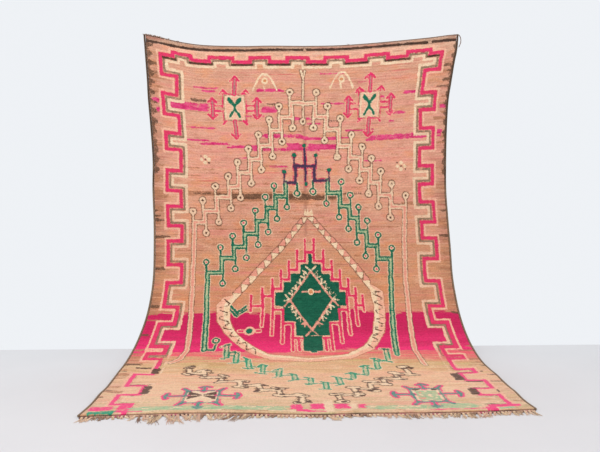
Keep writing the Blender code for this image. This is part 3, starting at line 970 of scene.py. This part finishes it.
def make_slab(name, fine_height, coarse_height, finish, layers):
    """Closed sheet over the whole rug. Its fine side has the pattern, the other one is plain and hidden."""
    rows, count = len(DOWNS), len(SHARES)
    fine = BACK + FRONT_DIRECTIONS * fine_height[..., None]
    hidden = BACK + FRONT_DIRECTIONS * coarse_height
    fine_ids = np.arange(rows * count).reshape(rows, count)
    keep_rows, keep_columns = kept_lines(rows), kept_lines(count)
    coarse = hidden[np.ix_(keep_rows, keep_columns)]
    coarse_ids = rows * count + np.arange(coarse[..., 0].size).reshape(coarse.shape[:2])
    rim = np.zeros((rows, count), int) - 1
    ring = np.zeros((rows, count), bool)
    ring[[0, -1], :] = True
    ring[:, [0, -1]] = True
    rim[ring] = coarse_ids[-1, -1] + 1 + np.arange(ring.sum())
    points = np.vstack([fine.reshape(-1, 3), coarse.reshape(-1, 3), hidden[ring]])
    faces = grid_faces(fine_ids) + grid_faces(coarse_ids)
    places = [np.arange(count), np.arange(count), np.arange(rows), np.arange(rows)]
    kept = [keep_columns, keep_columns, keep_rows, keep_rows]
    for fine_edge, rim_edge, coarse_edge, fine_places, coarse_places in zip(
        edge_rows(fine_ids), edge_rows(rim), edge_rows(coarse_ids), places, kept
    ):
        faces += zip(fine_edge, fine_edge[1:], rim_edge[1:], rim_edge)
        faces += zipped(rim_edge, fine_places, coarse_edge, coarse_places)
    mesh = new_mesh(name, points, faces)
    shell = bmesh.new()
    shell.from_mesh(mesh)
    bmesh.ops.recalc_face_normals(shell, faces=shell.faces)
    shell.to_mesh(mesh)
    shell.free()
    add_cloth_places(mesh, keep_rows, keep_columns, ring)
    for layer in PALETTE:
        add_values(mesh, layer, spread(layers[layer], keep_rows, keep_columns, ring))
    return new_object(name, mesh, finish)


def spread(grid, keep_rows, keep_columns, ring):
    """Values for the points of a slab: its fine side, its coarse side and its rim."""
    return np.concatenate([grid.ravel(), grid[np.ix_(keep_rows, keep_columns)].ravel(), grid[ring]])


def add_values(mesh, name, values):
    mesh.attributes.new(name, "FLOAT", "POINT").data.foreach_set("value", values.astype(np.float32))


def add_cloth_places(mesh, keep_rows, keep_columns, ring):
    """UV map in metres of cloth: across and down."""
    across, down = np.meshgrid(SHARES * CHART_HALF_WIDTH, DOWNS)
    places = np.stack([spread(g, keep_rows, keep_columns, ring) for g in (across, down)], 1)
    write_uv(mesh, places)


def write_uv(mesh, places):
    corners = np.zeros(len(mesh.loops), int)
    mesh.loops.foreach_get("vertex_index", corners)
    uv = mesh.uv_layers.new(name="cloth")
    uv.data.foreach_set("uv", places[corners].astype(np.float32).ravel())


def tube_frames(path):
    """For each point of a path, two directions square to it that don't twist."""
    forward = np.gradient(path, axis=0)
    forward /= np.linalg.norm(forward, axis=1, keepdims=True)
    first = np.cross(forward[0], (0.0, 0.37, 0.93))
    sides = [first / np.linalg.norm(first)]
    for direction in forward[1:]:
        turned = sides[-1] - direction * (sides[-1] @ direction)
        sides.append(turned / np.linalg.norm(turned))
    sides = np.array(sides)
    return sides, np.cross(forward, sides)


def tube(path, radii, around, offset=0):
    """Points, faces and places (round, along) of a closed tube with a radius for each point and corner."""
    side, up = tube_frames(path)
    turns = 2 * np.pi * np.arange(around) / around
    radii = np.broadcast_to(radii, (len(path), around))
    out = side[:, None] * np.cos(turns)[None, :, None] + up[:, None] * np.sin(turns)[None, :, None]
    points = (path[:, None] + out * radii[..., None]).reshape(-1, 3)
    ids = offset + np.arange(len(points)).reshape(len(path), around)
    wrapped = np.concatenate([ids, ids[:, :1]], 1)
    faces = grid_faces(wrapped) + [ids[0, ::-1].tolist(), ids[-1].tolist()]
    along = np.repeat(arc_lengths(path), around)
    places = np.stack([np.tile(turns / (2 * np.pi), len(path)), along], 1)
    return points, faces, places


def tubes_object(name, tubes, finish, tints=None):
    """One mesh of several tubes, each given as (path, radii, around)."""
    points, faces, places, shades = [], [], [], []
    offset = 0
    for index, (path, radii, around) in enumerate(tubes):
        p, f, uv = tube(path, radii, around, offset)
        points.append(p)
        faces += f
        places.append(uv)
        shades.append(np.full(len(p), tints[index] if tints else 0.5))
        offset += len(p)
    mesh = new_mesh(name, np.vstack(points), faces)
    write_uv(mesh, np.vstack(places))
    add_values(mesh, "tint", np.concatenate(shades))
    mesh.validate()
    return new_object(name, mesh, finish)


WRAP_STEP = 0.0016  # between the points of a selvedge's path
WRAP_PITCH = (0.006, 0.0085)
CORD_POINTS = 500
CORD_STEP = 0.0014  # between the points of the end cord's path
CORD_LAY = 0.007  # length of a half turn of the end cord's plies


def make_selvedge(name, side, finish):
    """Cord of warps overcast with wool: its wraps slant round it."""
    downs = np.arange(0.0, RUG_LENGTH, WRAP_STEP)
    share = np.full(len(downs), side)
    edge = back_points(share, downs)
    ahead = back_points(share, downs + 0.01) - back_points(share, downs - 0.01)
    front = np.stack([np.zeros(len(downs)), ahead[:, 2], -ahead[:, 1]], 1)
    front /= np.linalg.norm(front, axis=1, keepdims=True)
    edge_middle = (WOVEN_THICKNESS + (PILE_THICKNESS - WOVEN_THICKNESS) * EDGE_SHARE) / 2
    centre_out = max(edge_middle, SELVEDGE_RADIUS + GAP)
    path = edge + np.array([side * (SELVEDGE_RADIUS + GAP), 0, 0]) + front * centre_out
    around = 10
    seed = random.Random(31 if side < 0 else 32)
    phase = 0.0
    phases = []
    for _ in downs:
        phase += WRAP_STEP / seed.uniform(*WRAP_PITCH)
        phases.append(phase)
    turns = np.arange(around)[None, :] / around
    wraps = np.abs(np.sin(np.pi * (np.array(phases)[:, None] + turns)))
    radii = SELVEDGE_RADIUS * (0.86 + 0.14 * wraps)
    return tubes_object(name, [(path, radii, around)], finish)


def make_end_cord(finish):
    """Two-ply cord along the top edge, with its loose loop past the right corner."""
    shares = np.linspace(-1, 1, CORD_POINTS)
    path = back_points(shares, np.zeros(CORD_POINTS)) + (0.0, -WOVEN_THICKNESS / 2, END_CORD_RADIUS + GAP)
    loop = [path[-1], *(path[-1] + (across, 0.0, up) for across, up in LOOP)]
    path = np.vstack([path, smooth_curve(loop, 14)[1:]])
    along = arc_lengths(path)
    even = np.arange(0, along[-1], CORD_STEP)
    path = np.stack([np.interp(even, along, path[:, axis]) for axis in range(3)], 1)
    around = 8
    turns = np.arange(around)[None, :] / around
    ply = np.abs(np.cos(np.pi * (even[:, None] / CORD_LAY + turns)))
    return tubes_object("end_cord_twist", [(path, END_CORD_RADIUS * (0.72 + 0.28 * ply), around)], finish)


def lock_places():
    """Where each lock of the fringe starts, and how long it is and leans, as in the solids."""
    pitch = 2.0 / (FRINGE_LOCKS + (1 - LOCK_SHARE))
    seed = random.Random(7)
    across_of, length_of = columns(LOCK_LENGTHS, 0, 1)
    places = []
    for lock in range(FRINGE_LOCKS):
        share = -1 + pitch * ((lock + 1) * (1 - LOCK_SHARE) + (lock + 0.5) * LOCK_SHARE)
        edge = back_points(share, RUG_LENGTH)
        length = float(np.interp(edge[0], across_of, length_of))
        length *= 1.0 + LOCK_UNEVENNESS * seed.uniform(-1.0, 1.0)
        lean = LOCK_LEAN * math.sin(2 * math.pi * edge[0] / LOCK_LEAN_PERIOD)
        places.append((edge, length, lean, pitch * LOCK_SHARE * CHART_HALF_WIDTH))
    return places


STRANDS = 15
STRAND_RADIUS = 0.0011
STRAND_POINTS = 8
KNOT_RADIUS = 0.0036
KNOT_MIDDLE = 0.004  # above the floor


def make_fringe_locks(finish):
    """Knotted locks: each is a knot at the strip and a loose brush of yarn ends lying on the floor."""
    seed = random.Random(17)
    tubes, tints = [], []
    floor = -HANG_HEIGHT
    for edge, length, lean, width in lock_places():
        root_y = edge[1] - GAP - FRINGE_STRIP_DEPTH
        tint = seed.random()
        lock_lean = lean + seed.gauss(0, 0.28)
        knot_y = root_y - 0.001 - seed.uniform(0.0, 0.006)
        knot_half = seed.uniform(0.0024, 0.0052)
        shares = np.linspace(0, 1, 7)
        knot_x = edge[0] + (2 * shares - 1) * knot_half
        knot = np.stack([knot_x, np.full(7, knot_y), np.full(7, floor + KNOT_MIDDLE)], 1)
        round_it = np.sqrt(np.clip(1 - (2 * shares - 1) ** 2, 0.02, 1))
        tubes.append((knot, KNOT_RADIUS * round_it[:, None], 8))
        tints.append(tint)
        for _ in range(STRANDS):
            own = length * seed.uniform(0.55, 1.12)
            start = edge[0] + seed.uniform(-0.5, 0.5) * width
            fan = lock_lean + seed.gauss(0, 0.11)
            lift = seed.uniform(0.0002, 0.0042)
            curl = seed.uniform(-0.16, 0.16)
            wave = seed.uniform(0, 2 * math.pi)
            share = np.linspace(0, 1, STRAND_POINTS)
            x = start + own * (np.tan(fan) * share ** 1.3 + curl * share ** 2)
            x += 0.0012 * np.sin(7 * share + wave)
            y = root_y + 0.003 - own * share * math.cos(fan * 0.6)
            ripple = 0.001 * np.abs(np.sin(4 * share + wave)) * (1 - share)
            z = floor + STRAND_RADIUS + lift * (1 - share) ** 1.5 + ripple
            radii = STRAND_RADIUS * (1.0 - 0.45 * share)[:, None] * seed.uniform(0.7, 1.25)
            tubes.append((np.stack([x, y, z], 1), radii, 4))
            tints.append(min(1.0, max(0.0, tint + seed.gauss(0, 0.13))))
    return tubes_object("fringe_locks", tubes, finish, tints)


STRIP_SECTION = (
    # near, height
    (0.0, 0.0), (0.0, 0.0042), (0.003, 0.005), (0.006, 0.0048), (0.009, 0.005), (0.012, 0.0036), (0.012, 0.0),
)
STRIP_POINTS = 700


def make_fringe_strip(finish):
    """Narrow woven strip past the last row of pile, in which the locks are rooted."""
    count = STRIP_POINTS
    shares = np.linspace(-1, 1, count)
    edge = back_points(shares, np.full(count, RUG_LENGTH))
    rows = []
    ripple = 0.0003 * np.sin(2 * np.pi * np.arange(count) / 5.0)
    for near, height in STRIP_SECTION:
        lift = ripple if height > 0 else 0.0
        z = np.full(count, -HANG_HEIGHT + height) + lift
        rows.append(np.stack([edge[:, 0], edge[:, 1] - GAP - near, z], 1))
    grid = np.stack(rows)
    ids = np.arange(grid[..., 0].size).reshape(grid.shape[:2])
    faces = grid_faces(np.vstack([ids, ids[:1]])) + [ids[:, 0].tolist(), ids[::-1, -1].tolist()]
    mesh = new_mesh("fringe_strip", grid.reshape(-1, 3), faces)
    lengths = np.tile(shares * CHART_HALF_WIDTH, len(STRIP_SECTION))
    write_uv(mesh, np.stack([lengths, np.repeat([near for near, _ in STRIP_SECTION], count)], 1))
    add_values(mesh, "tint", np.full(len(mesh.vertices), 0.5))
    return new_object("fringe_strip", mesh, finish)


def make_tufts(finish):
    """Frayed wool at the top left corner, and stray ends along the top edge."""
    seed = random.Random(41)
    tubes, tints = [], []
    clumps = [(-0.998 + 0.01 * k, 0.002, 16 - k) for k in range(12)]
    clumps += [(-0.86, 0.0, 6), (-0.8, 0.0, 5), (0.3, 0.0, 3), (0.985, 0.004, 6)]
    for share, down, ends in clumps:
        root = back_points(share, down)
        for _ in range(ends):
            start = root + np.array([seed.uniform(-0.008, 0.008), -0.0035 - seed.uniform(0, 0.002), 0.004])
            own = seed.uniform(0.008, 0.02)
            turn = seed.uniform(0.3, 2.8)
            steps = np.linspace(0, 1, 6)
            x = start[0] + own * steps * math.cos(turn)
            z = start[2] + own * steps * math.sin(turn) * 0.7 - 0.006 * steps ** 2
            y = start[1] - 0.003 * np.sin(3 * steps)
            tubes.append((np.stack([x, y, z], 1), 0.0009 * (1 - 0.5 * steps)[:, None], 4))
            tints.append(seed.random())
    return tubes_object("corner_tuft", tubes, finish, tints)


# Materials

def tone(red, green, blue):
    """A colour given as it looks on screen, 0 to 255, for a shader socket."""
    linear = []
    for value in (red, green, blue):
        share = value / 255
        linear.append(share / 12.92 if share <= 0.04045 else ((share + 0.055) / 1.055) ** 2.4)
    return (*linear, 1.0)


PALETTE = dict(
    # layers, each painted over the ones before it: main colour, and the one it drifts to in places
    wine=((202, 36, 100), (230, 86, 132)), tan=((168, 112, 82), (188, 130, 96)),
    dark=((76, 56, 42), (116, 84, 62)), olive=((158, 132, 106), (138, 112, 86)),
    line=((64, 43, 32), (102, 70, 52)), blush=((236, 172, 144), (238, 188, 158)),
    cream=((232, 196, 162), (240, 212, 178)), pink=((226, 50, 106), (216, 64, 92)),
    green=((16, 83, 62), (28, 99, 74)), plum=((88, 48, 78), (66, 60, 80)),
    leaf=((148, 184, 142), (194, 194, 150)), peach=((226, 146, 126), (230, 162, 138)),
    ivory=((234, 200, 160), (242, 216, 182)), rose=((222, 62, 100), (214, 46, 88)),
    ink=((80, 54, 42), (110, 78, 58)), teal=((64, 132, 118), (112, 148, 136)),
    amber=((206, 132, 86), (214, 146, 100)), heart=((178, 116, 116), (194, 128, 122)),
)
MAGENTA = ((200, 34, 88), (236, 50, 114), (184, 34, 78))

# Ground of the field, down the rug
GROUND = (
    # down, red, green, blue
    (0.0, 222, 182, 154), (0.02, 226, 184, 156), (0.05, 228, 180, 152), (0.1, 214, 162, 134),
    (0.2, 218, 160, 134), (0.42, 223, 165, 140), (0.62, 228, 163, 140), (0.85, 223, 165, 136),
    (1.0, 216, 156, 130), (1.25, 207, 151, 114), (1.46, 204, 142, 106), (1.8, 218, 120, 112),
    (1.86, 220, 148, 120), (1.9, 206, 178, 124), (2.02, 238, 192, 152), (2.3, 236, 198, 160),
    (2.5, 212, 182, 146),
)
MAGENTA_BAND = (1.54, 1.8)


class Nodes:
    """Short calls for the nodes of one material."""

    def __init__(self, name):
        self.material = bpy.data.materials.new(name)
        self.material.use_nodes = True
        self.tree = self.material.node_tree
        self.shader = self.tree.nodes["Principled BSDF"]

    def on_cloth(self):
        """Read the cloth coordinates: place is a vector, across and down are its parts."""
        node = self.add("UVMap")
        node.uv_map = "cloth"
        self.place = node.outputs[0]
        self.across, self.down = self.add("SeparateXYZ", i0=self.place).outputs[:2]
        return self

    def give(self, socket, value):
        """Set a socket to a value, to a colour as it looks on screen or to another node's output."""
        if isinstance(value, bpy.types.NodeSocket):
            self.tree.links.new(value, socket)
        elif socket.type == "RGBA":
            socket.default_value = tone(*value)
        else:
            socket.default_value = value

    def add(self, kind, **inputs):
        """A shader node with its inputs given by name, or by number after an i."""
        node = self.tree.nodes.new("ShaderNode" + kind)
        for key, value in inputs.items():
            numbered = key[0] == "i" and key[1:].isdigit()
            self.give(node.inputs[int(key[1:]) if numbered else key], value)
        return node

    def math(self, operation, *values):
        node = self.add("Math", **{f"i{n}": v for n, v in enumerate(values)})
        node.operation = operation
        return node.outputs[0]

    def plus(self, one, other):
        return self.math("ADD", one, other)

    def times(self, one, other):
        return self.math("MULTIPLY", one, other)

    def value(self, name):
        node = self.add("Attribute")
        node.attribute_name = name
        return node.outputs["Fac"]

    def stretched(self, across, down, shift=0):
        scale, location = (across, down, 1), (shift, shift, 0)
        return self.add("Mapping", Vector=self.place, Scale=scale, Location=location).outputs[0]

    def noise(self, across, down, shift=0, detail=2, roughness=0.5):
        """Noise with so many cells in a metre across and down the cloth."""
        place = self.stretched(across, down, shift)
        node = self.add("TexNoise", Vector=place, Scale=1, Detail=detail, Roughness=roughness)
        return node.outputs["Fac"]

    def rows(self, across, down, distortion, detail=2, upright=False):
        """Rows that lie across the cloth, or ribs that run down it where upright is set."""
        place = self.stretched(across, down)
        node = self.add("TexWave", Vector=place, Scale=0.16, Distortion=distortion, Detail=detail)
        node.bands_direction = "X" if upright else "Y"
        return node.outputs["Fac"]

    def between(self, value, low, high, start=0, stop=1):
        """Run from start to stop while the value runs from low to high."""
        node = self.add("MapRange", i0=value, i1=low, i2=high, i3=start, i4=stop)
        node.clamp = True
        return node.outputs[0]

    def mix(self, share, one, other):
        node = self.add("Mix")
        node.data_type = "RGBA"
        for socket, value in zip((node.inputs[0], node.inputs[6], node.inputs[7]), (share, one, other)):
            self.give(socket, value)
        return node.outputs[2]

    def ramp(self, value, stops):
        """A colour that runs through the stops: place, red, green and blue."""
        node = self.add("ValToRGB", i0=value)
        elements = node.color_ramp.elements
        while len(elements) < len(stops):
            elements.new(0.5)
        for element, (place, *colour) in zip(elements, stops):
            element.position = place
            element.color = tone(*colour)
        return node.outputs[0]

    def shade(self, colour, factor):
        """A colour made lighter or darker by a factor."""
        node = self.add("VectorMath", i0=colour)
        node.operation = "SCALE"
        self.tree.links.new(factor, node.inputs["Scale"])
        return node.outputs[0]

    def wool(self, colour, height, distance, roughness, sheen):
        """Finish the material as wool of this colour, with a bump of this height."""
        bump = self.add("Bump", Strength=1, Distance=distance, Height=height).outputs[0]
        for name, value in (
            ("Base Color", colour), ("Normal", bump), ("Roughness", roughness),
            ("Specular IOR Level", 0.12), ("Sheen Weight", sheen), ("Sheen Roughness", 0.45),
        ):
            self.give(self.shader.inputs[name], value)
        return self.material


DRIFTS = (
    # noise, where its share starts and is full, the most it gets, part of the rug, colour
    ("broad", 0.5, 0.72, 0.66, "all", (228, 130, 124)),
    ("broad", 0.48, 0.28, 0.64, "all", (196, 132, 90)),
    ("patch", 0.52, 0.72, 0.45, "all", (230, 180, 148)),
    ("uneven", 0.5, 0.68, 0.55, "hanging", (226, 146, 98)),
    ("uneven", 0.48, 0.32, 0.5, "hanging", (192, 128, 104)),
    ("thin", 0.62, 0.74, 0.55, "hanging", (154, 104, 80)),
    ("thin", 0.38, 0.28, 0.6, "hanging", (218, 96, 98)),
    ("thin", 0.54, 0.7, 0.6, "lying", (198, 160, 104)),
    ("thin", 0.42, 0.3, 0.55, "lying", (226, 144, 98)),
    ("spots", 0.52, 0.68, 0.55, "lying", (240, 206, 164)),
    ("spots", 0.5, 0.34, 0.65, "near_end", (196, 184, 132)),
    ("thin", 0.66, 0.4, 1, "margins", (150, 104, 78)),
    ("fine", 0.54, 0.74, 0.45, "all", (238, 196, 164)),
    ("fine", 0.46, 0.28, 0.4, "all", (186, 112, 84)),
)


def margins(n):
    """Share of brown yarn: more towards the sides, and less on the floor."""
    from_middle = n.math("ABSOLUTE", n.math("SUBTRACT", n.across, n.between(n.down, 0.5, 0.8, 0.02, 0)))
    share = n.times(n.between(from_middle, 0.76, 0.86), n.between(n.down, 0.5, 0.8, 0.4, 0.78))
    return n.times(share, n.between(n.down, 1.78, 1.9, 1, 0.3))


def rug_colour(n):
    """Colour of the knots of the field: its ground with streaks and drifts, and the magenta band."""
    slid = n.plus(n.down, n.between(n.noise(1.1, 5, 0, 3), 0.3, 0.7, -0.05, 0.05))
    stops = [(at / RUG_LENGTH, *rgb) for at, *rgb in GROUND]
    colour = n.ramp(n.math("DIVIDE", slid, RUG_LENGTH), stops)
    noises = dict(
        broad=n.noise(1.6, 22, 3, 4, 0.62),
        fine=n.noise(12, 120, 7, 3, 0.65),
        thin=n.noise(3, 64, 13, 3, 0.6),
        patch=n.noise(5, 9, 21, 3, 0.6),
        uneven=n.noise(7, 16, 27, 3, 0.62),
        spots=n.noise(11, 30, 33, 3, 0.6),
    )
    parts = dict(
        all=1,
        hanging=n.between(n.down, 1.48, 1.56, 1, 0),
        lying=n.between(n.down, 1.82, 1.9),
        near_end=n.between(n.down, 2.22, 2.44),
        margins=margins(n),
    )
    for name, start, full, most, part, rgb in DRIFTS:
        share = n.between(noises[name], start, full, 0, most)
        colour = n.mix(n.times(parts[part], share), colour, rgb)
    low = n.plus(n.down, n.between(n.noise(16, 110, 1), 0.3, 0.7, -0.01, 0.01))
    low = n.plus(low, n.between(n.noise(2.5, 0, 5, 1), 0.3, 0.7, -0.018, 0.018))
    band_start, band_stop = MAGENTA_BAND
    start = n.between(low, band_start - 0.002, band_start + 0.002)
    stop = n.between(low, band_stop - 0.003, band_stop + 0.003, 1, 0)
    magenta = n.mix(n.between(low, 1.64, 1.78), MAGENTA[0], MAGENTA[1])
    magenta = n.mix(n.between(noises["broad"], 0.45, 0.7, 0, 0.7), magenta, MAGENTA[2])
    magenta = n.mix(n.between(noises["fine"], 0.58, 0.76, 0, 0.3), magenta, (228, 96, 120))
    fading = n.times(n.between(low, 1.8, 1.806), n.between(low, 1.9, 1.84))
    lines = n.between(n.noise(2, 95, 17), 0.48, 0.56)
    colour = n.mix(n.times(fading, lines), colour, (232, 96, 108))
    return n.mix(n.times(start, stop), colour, magenta)


def knotted(n):
    """Unevenness of the pattern's edges, in metres: knots of about 7 mm, and a slower drift."""
    knots = n.between(n.noise(165, 150, 0, 1), 0.25, 0.75, -0.003, 0.003)
    return n.plus(knots, n.between(n.noise(30, 24, 9), 0.28, 0.72, -0.0026, 0.0026))


def painted_crease_shade(n, wobble):
    """Share of the painted crease shade: a darker line of painted shade that runs down the middle of the
    hanging part, in the trough of its fold.
    """
    from_crease = n.plus(n.math("SUBTRACT", n.across, n.between(n.down, 0, 1.3, 0.006, 0.02)), wobble)
    share = n.between(n.math("ABSOLUTE", from_crease), 0.003, 0.017, 0.5, 0)
    share = n.times(share, n.between(n.down, 1, 1.2, 1, 0))
    return n.times(share, n.between(n.down, 0.1, 0.6, 0.2, 1))


SOFT_EDGE = (-0.0016, 0.0014)  # distances over which a shape's colour fades out


def painted(n):
    """The rug's whole pattern as one colour, with painted shade along the middle crease."""
    colour = rug_colour(n)
    wobble = knotted(n)
    grain = n.noise(120, 150, 5, 2, 0.7)
    drifted = n.between(n.noise(22, 44, 11, 3, 0.65), 0.36, 0.64)
    # painted shade along the middle crease, darker in the trough of the fold
    colour = n.mix(painted_crease_shade(n, wobble), colour, (142, 88, 78))
    for layer, colours in PALETTE.items():
        distance = n.plus(n.value(layer), wobble)
        mask = n.between(distance, *SOFT_EDGE, 1, 0)
        own = n.mix(drifted, *colours)
        if layer in ("dark", "tan"):
            mask = n.times(mask, n.between(grain, 0.32, 0.66, 1, 0.7))
        elif layer == "cream":
            rosy = n.times(n.between(n.down, 0.6, 1.3), n.between(n.down, 1.86, 1.92, 1, 0))
            own = n.mix(n.times(rosy, 0.45), own, (226, 166, 138))
        elif layer == "line":
            strong = n.math("MAXIMUM", n.between(n.down, 0.12, 0.6, 1, 0.7), n.between(n.down, 1.82, 1.88))
            mask = n.times(mask, strong)
        elif layer == "pink":
            own = n.mix(n.between(n.down, 1.84, 1.96, 0, 0.8), own, (242, 70, 130))
        elif layer == "green":
            beside = n.between(n.math("ABSOLUTE", n.math("SUBTRACT", n.across, 0.04)), 0.23, 0.27, 0, 0.7)
            higher = n.between(n.down, 1.06, 1.12, 0.7, 0)
            own = n.mix(n.math("MAXIMUM", beside, higher), own, (26, 112, 84))
            own = n.mix(n.between(n.down, 1.79, 1.86), own, (50, 150, 114))
        colour = n.mix(mask, colour, own)
    return n.shade(colour, n.between(grain, 0.28, 0.72, 0.84, 1.12))


def tufts(n):
    """Relief of the pile: one tuft a knot in loose rows, with fibres over it. The tuft and fibre values also
    give the pile's painted shade.
    """
    cells = n.add("TexVoronoi", Vector=n.stretched(150, 138), Scale=1, Randomness=0.85)
    cells.feature = "SMOOTH_F1"
    fibres = n.noise(520, 330, 0, 2, 0.6)
    tuft = n.between(cells.outputs["Distance"], 0, 0.8, 1, 0)
    height = n.plus(n.times(tuft, 0.55), n.times(fibres, 0.35))
    return n.plus(height, n.times(n.rows(4, 128, 1.6, 1), 0.22)), tuft, fibres


def make_pile_material():
    n = Nodes("knotted_pile").on_cloth()
    colour = painted(n)
    height, tuft, fibres = tufts(n)
    on_strip = n.between(n.down, TOP_STRIP - 0.001, TOP_STRIP + 0.0004, 1, 0)
    height = n.mix(on_strip, height, n.rows(6, 300, 0.6))
    # painted shade: darker between the tufts and lighter on their tops, with the fibres' grain
    tuft_shade_and_grain = n.plus(n.times(tuft, 0.24), n.times(fibres, 0.34))
    return n.wool(n.shade(colour, n.plus(tuft_shade_and_grain, 0.72)), height, 0.0034, 0.92, 0.2)


def make_back_material():
    n = Nodes("woven_back").on_cloth()
    colour = n.mix(0.16, painted(n), (214, 178, 146))
    rows = n.rows(3, 125, 0.8, 1)
    knots = n.noise(260, 120, 0, 1)
    colour = n.mix(n.between(rows, 0.1, 0.34, 0.55, 0), colour, (196, 150, 118))
    colour = n.shade(colour, n.between(knots, 0.25, 0.75, 0.8, 1.06))
    return n.wool(colour, n.plus(n.times(rows, 0.7), n.times(knots, 0.4)), 0.0016, 0.95, 0.1)


def make_overcast_material():
    """Overcasting wool: dark brown on the upper part, olive grey further down."""
    n = Nodes("overcast_wool").on_cloth()
    streak = n.between(n.noise(3, 160), 0.35, 0.65)
    upper = n.mix(streak, (70, 52, 40), (104, 82, 62))
    lower = n.mix(streak, (112, 92, 72), (150, 124, 100))
    slid = n.plus(n.down, n.between(n.noise(0.5, 9, 4), 0.3, 0.7, -0.25, 0.25))
    fibres = n.noise(24, 900)
    colour = n.shade(n.mix(n.between(slid, 0.7, 1), upper, lower), n.between(fibres, 0.2, 0.8, 0.78, 1.12))
    return n.wool(colour, fibres, 0.0006, 0.92, 0.15)


def make_cord_material():
    n = Nodes("twisted_cord").on_cloth()
    plies = n.noise(10, 420)
    colour = n.mix(n.between(plies, 0.3, 0.7), (98, 70, 54), (142, 110, 88))
    return n.wool(colour, plies, 0.0006, 0.9, 0.1)


def make_tinted_wool(name, darkest, stops):
    """Wool whose colour runs through the stops with each yarn's own tint."""
    n = Nodes(name).on_cloth()
    twist = n.noise(8, 700)
    colour = n.shade(n.ramp(n.value("tint"), stops), n.between(twist, 0.2, 0.8, darkest, 1.08))
    return n.wool(colour, twist, 0.0005, 0.95, 0.1)


# Undyed warp ends: beige, with greyed pink and brown ones among them
YARN_TINTS = (
    # tint, red, green, blue
    (0, 150, 112, 92), (0.25, 220, 190, 158), (0.5, 236, 208, 172), (0.75, 216, 166, 146), (1, 246, 224, 192),
)
TUFT_TINTS = (
    # tint, red, green, blue
    (0, 96, 70, 54), (0.5, 160, 122, 98), (1, 214, 172, 144),
)


def make_strip_material():
    """End strip of plain weave, in the dark and salmon wefts of the last rows."""
    n = Nodes("end_weave").on_cloth()
    colour = n.mix(n.between(n.noise(14, 60), 0.4, 0.6), (104, 72, 66), (216, 166, 142))
    colour = n.mix(n.between(n.noise(16, 1, 6, 1), 0.54, 0.62, 0, 0.85), colour, (206, 92, 122))
    ribs = n.rows(420, 60, 1, upright=True)
    colour = n.shade(colour, n.between(ribs, 0, 1, 0.74, 1.05))
    return n.wool(colour, ribs, 0.0008, 0.95, 0.1)


# Floor, light and camera

CAMERA_PLACE = (-0.128, -2.955, 0.71 - HANG_HEIGHT)
CAMERA_TURN = math.radians(2.2)  # to the right
FOCAL_PIXELS = 510.0
FRAME_PIXELS = 600
SENSOR = 36.0


def make_stage():
    floor = bpy.data.meshes.new("floor")
    near, far, side, level = -6.0, 0.03, 6.0, -HANG_HEIGHT - 0.0004
    corners = [(-side, near, level), (side, near, level), (side, far, level), (-side, far, level)]
    floor.from_pydata(corners, [], [(0, 1, 2, 3)])
    n = Nodes("pale_floor")
    place = n.add("TexCoord").outputs["Object"]
    grain = n.add("TexNoise", Vector=place, Scale=2.2, Detail=3).outputs["Fac"]
    n.give(n.shader.inputs["Base Color"], n.mix(grain, (212, 211, 212), (220, 219, 220)))
    n.give(n.shader.inputs["Roughness"], 0.8)
    made = new_object("floor", floor, n.material)


def make_light(name, place, aim, size, power, colour):
    data = bpy.data.lights.new(name, "AREA")
    data.shape = "RECTANGLE"
    data.size, data.size_y = size
    data.energy = power
    data.color = colour
    lamp = bpy.data.objects.new(name, data)
    lamp.location = place
    towards = np.array(aim) - np.array(place)
    lamp.rotation_euler = mathutils.Vector(towards).to_track_quat("-Z", "Y").to_euler()
    bpy.context.scene.collection.objects.link(lamp)


def make_lights():
    world = bpy.data.worlds.new("studio")
    bpy.context.scene.world = world
    world.use_nodes = True
    background = world.node_tree.nodes["Background"]
    background.inputs[0].default_value = tone(243, 246, 250)
    background.inputs[1].default_value = 0.96
    make_light("front", (-1.8, -3.6, 1.6), (0.0, -0.2, -1.0), (2.2, 1.6), 48.0, (1.0, 0.98, 0.96))
    make_light("top", (0.5, -1.6, 2.4), (0.0, -0.5, -1.7), (2.0, 1.6), 26.0, (1.0, 0.99, 0.98))


def make_camera():
    data = bpy.data.cameras.new("camera")
    data.sensor_width = SENSOR
    data.lens = FOCAL_PIXELS * SENSOR / FRAME_PIXELS
    camera = bpy.data.objects.new("camera", data)
    camera.location = CAMERA_PLACE
    camera.rotation_euler = (math.pi / 2, 0.0, -CAMERA_TURN)
    bpy.context.scene.collection.objects.link(camera)
    bpy.context.scene.camera = camera


def main():
    bpy.context.scene.view_settings.view_transform = "Standard"
    layers = make_chart()
    pile = make_slab("rug_pile", front_height(), PILE_BASE, make_pile_material(), layers)
    back = make_slab("rug_back", np.zeros(BACK.shape[:2]), BACK_LAYER, make_back_material(), layers)
    overcast = make_overcast_material()
    left = make_selvedge("overcast_left", -1.0, overcast)
    right = make_selvedge("overcast_right", 1.0, overcast)
    cord = make_end_cord(make_cord_material())
    strip = make_fringe_strip(make_strip_material())
    locks = make_fringe_locks(make_tinted_wool("warp_yarn", 0.78, YARN_TINTS))
    tuft = make_tufts(make_tinted_wool("frayed_wool", 0.8, TUFT_TINTS))
    slots = (
        ("pile", pile, back), ("selvedge", left, right, tuft), ("end_cord", cord), ("fringe", strip, locks),
    )
    for slot, *pieces in slots:
        for piece in pieces:
            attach(piece, "root")
    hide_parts("pile_body")
    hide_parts("selvedge_left")
    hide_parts("selvedge_right")
    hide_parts("end_cord")
    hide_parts("fringe")
    make_stage()
    make_lights()
    make_camera()


main()
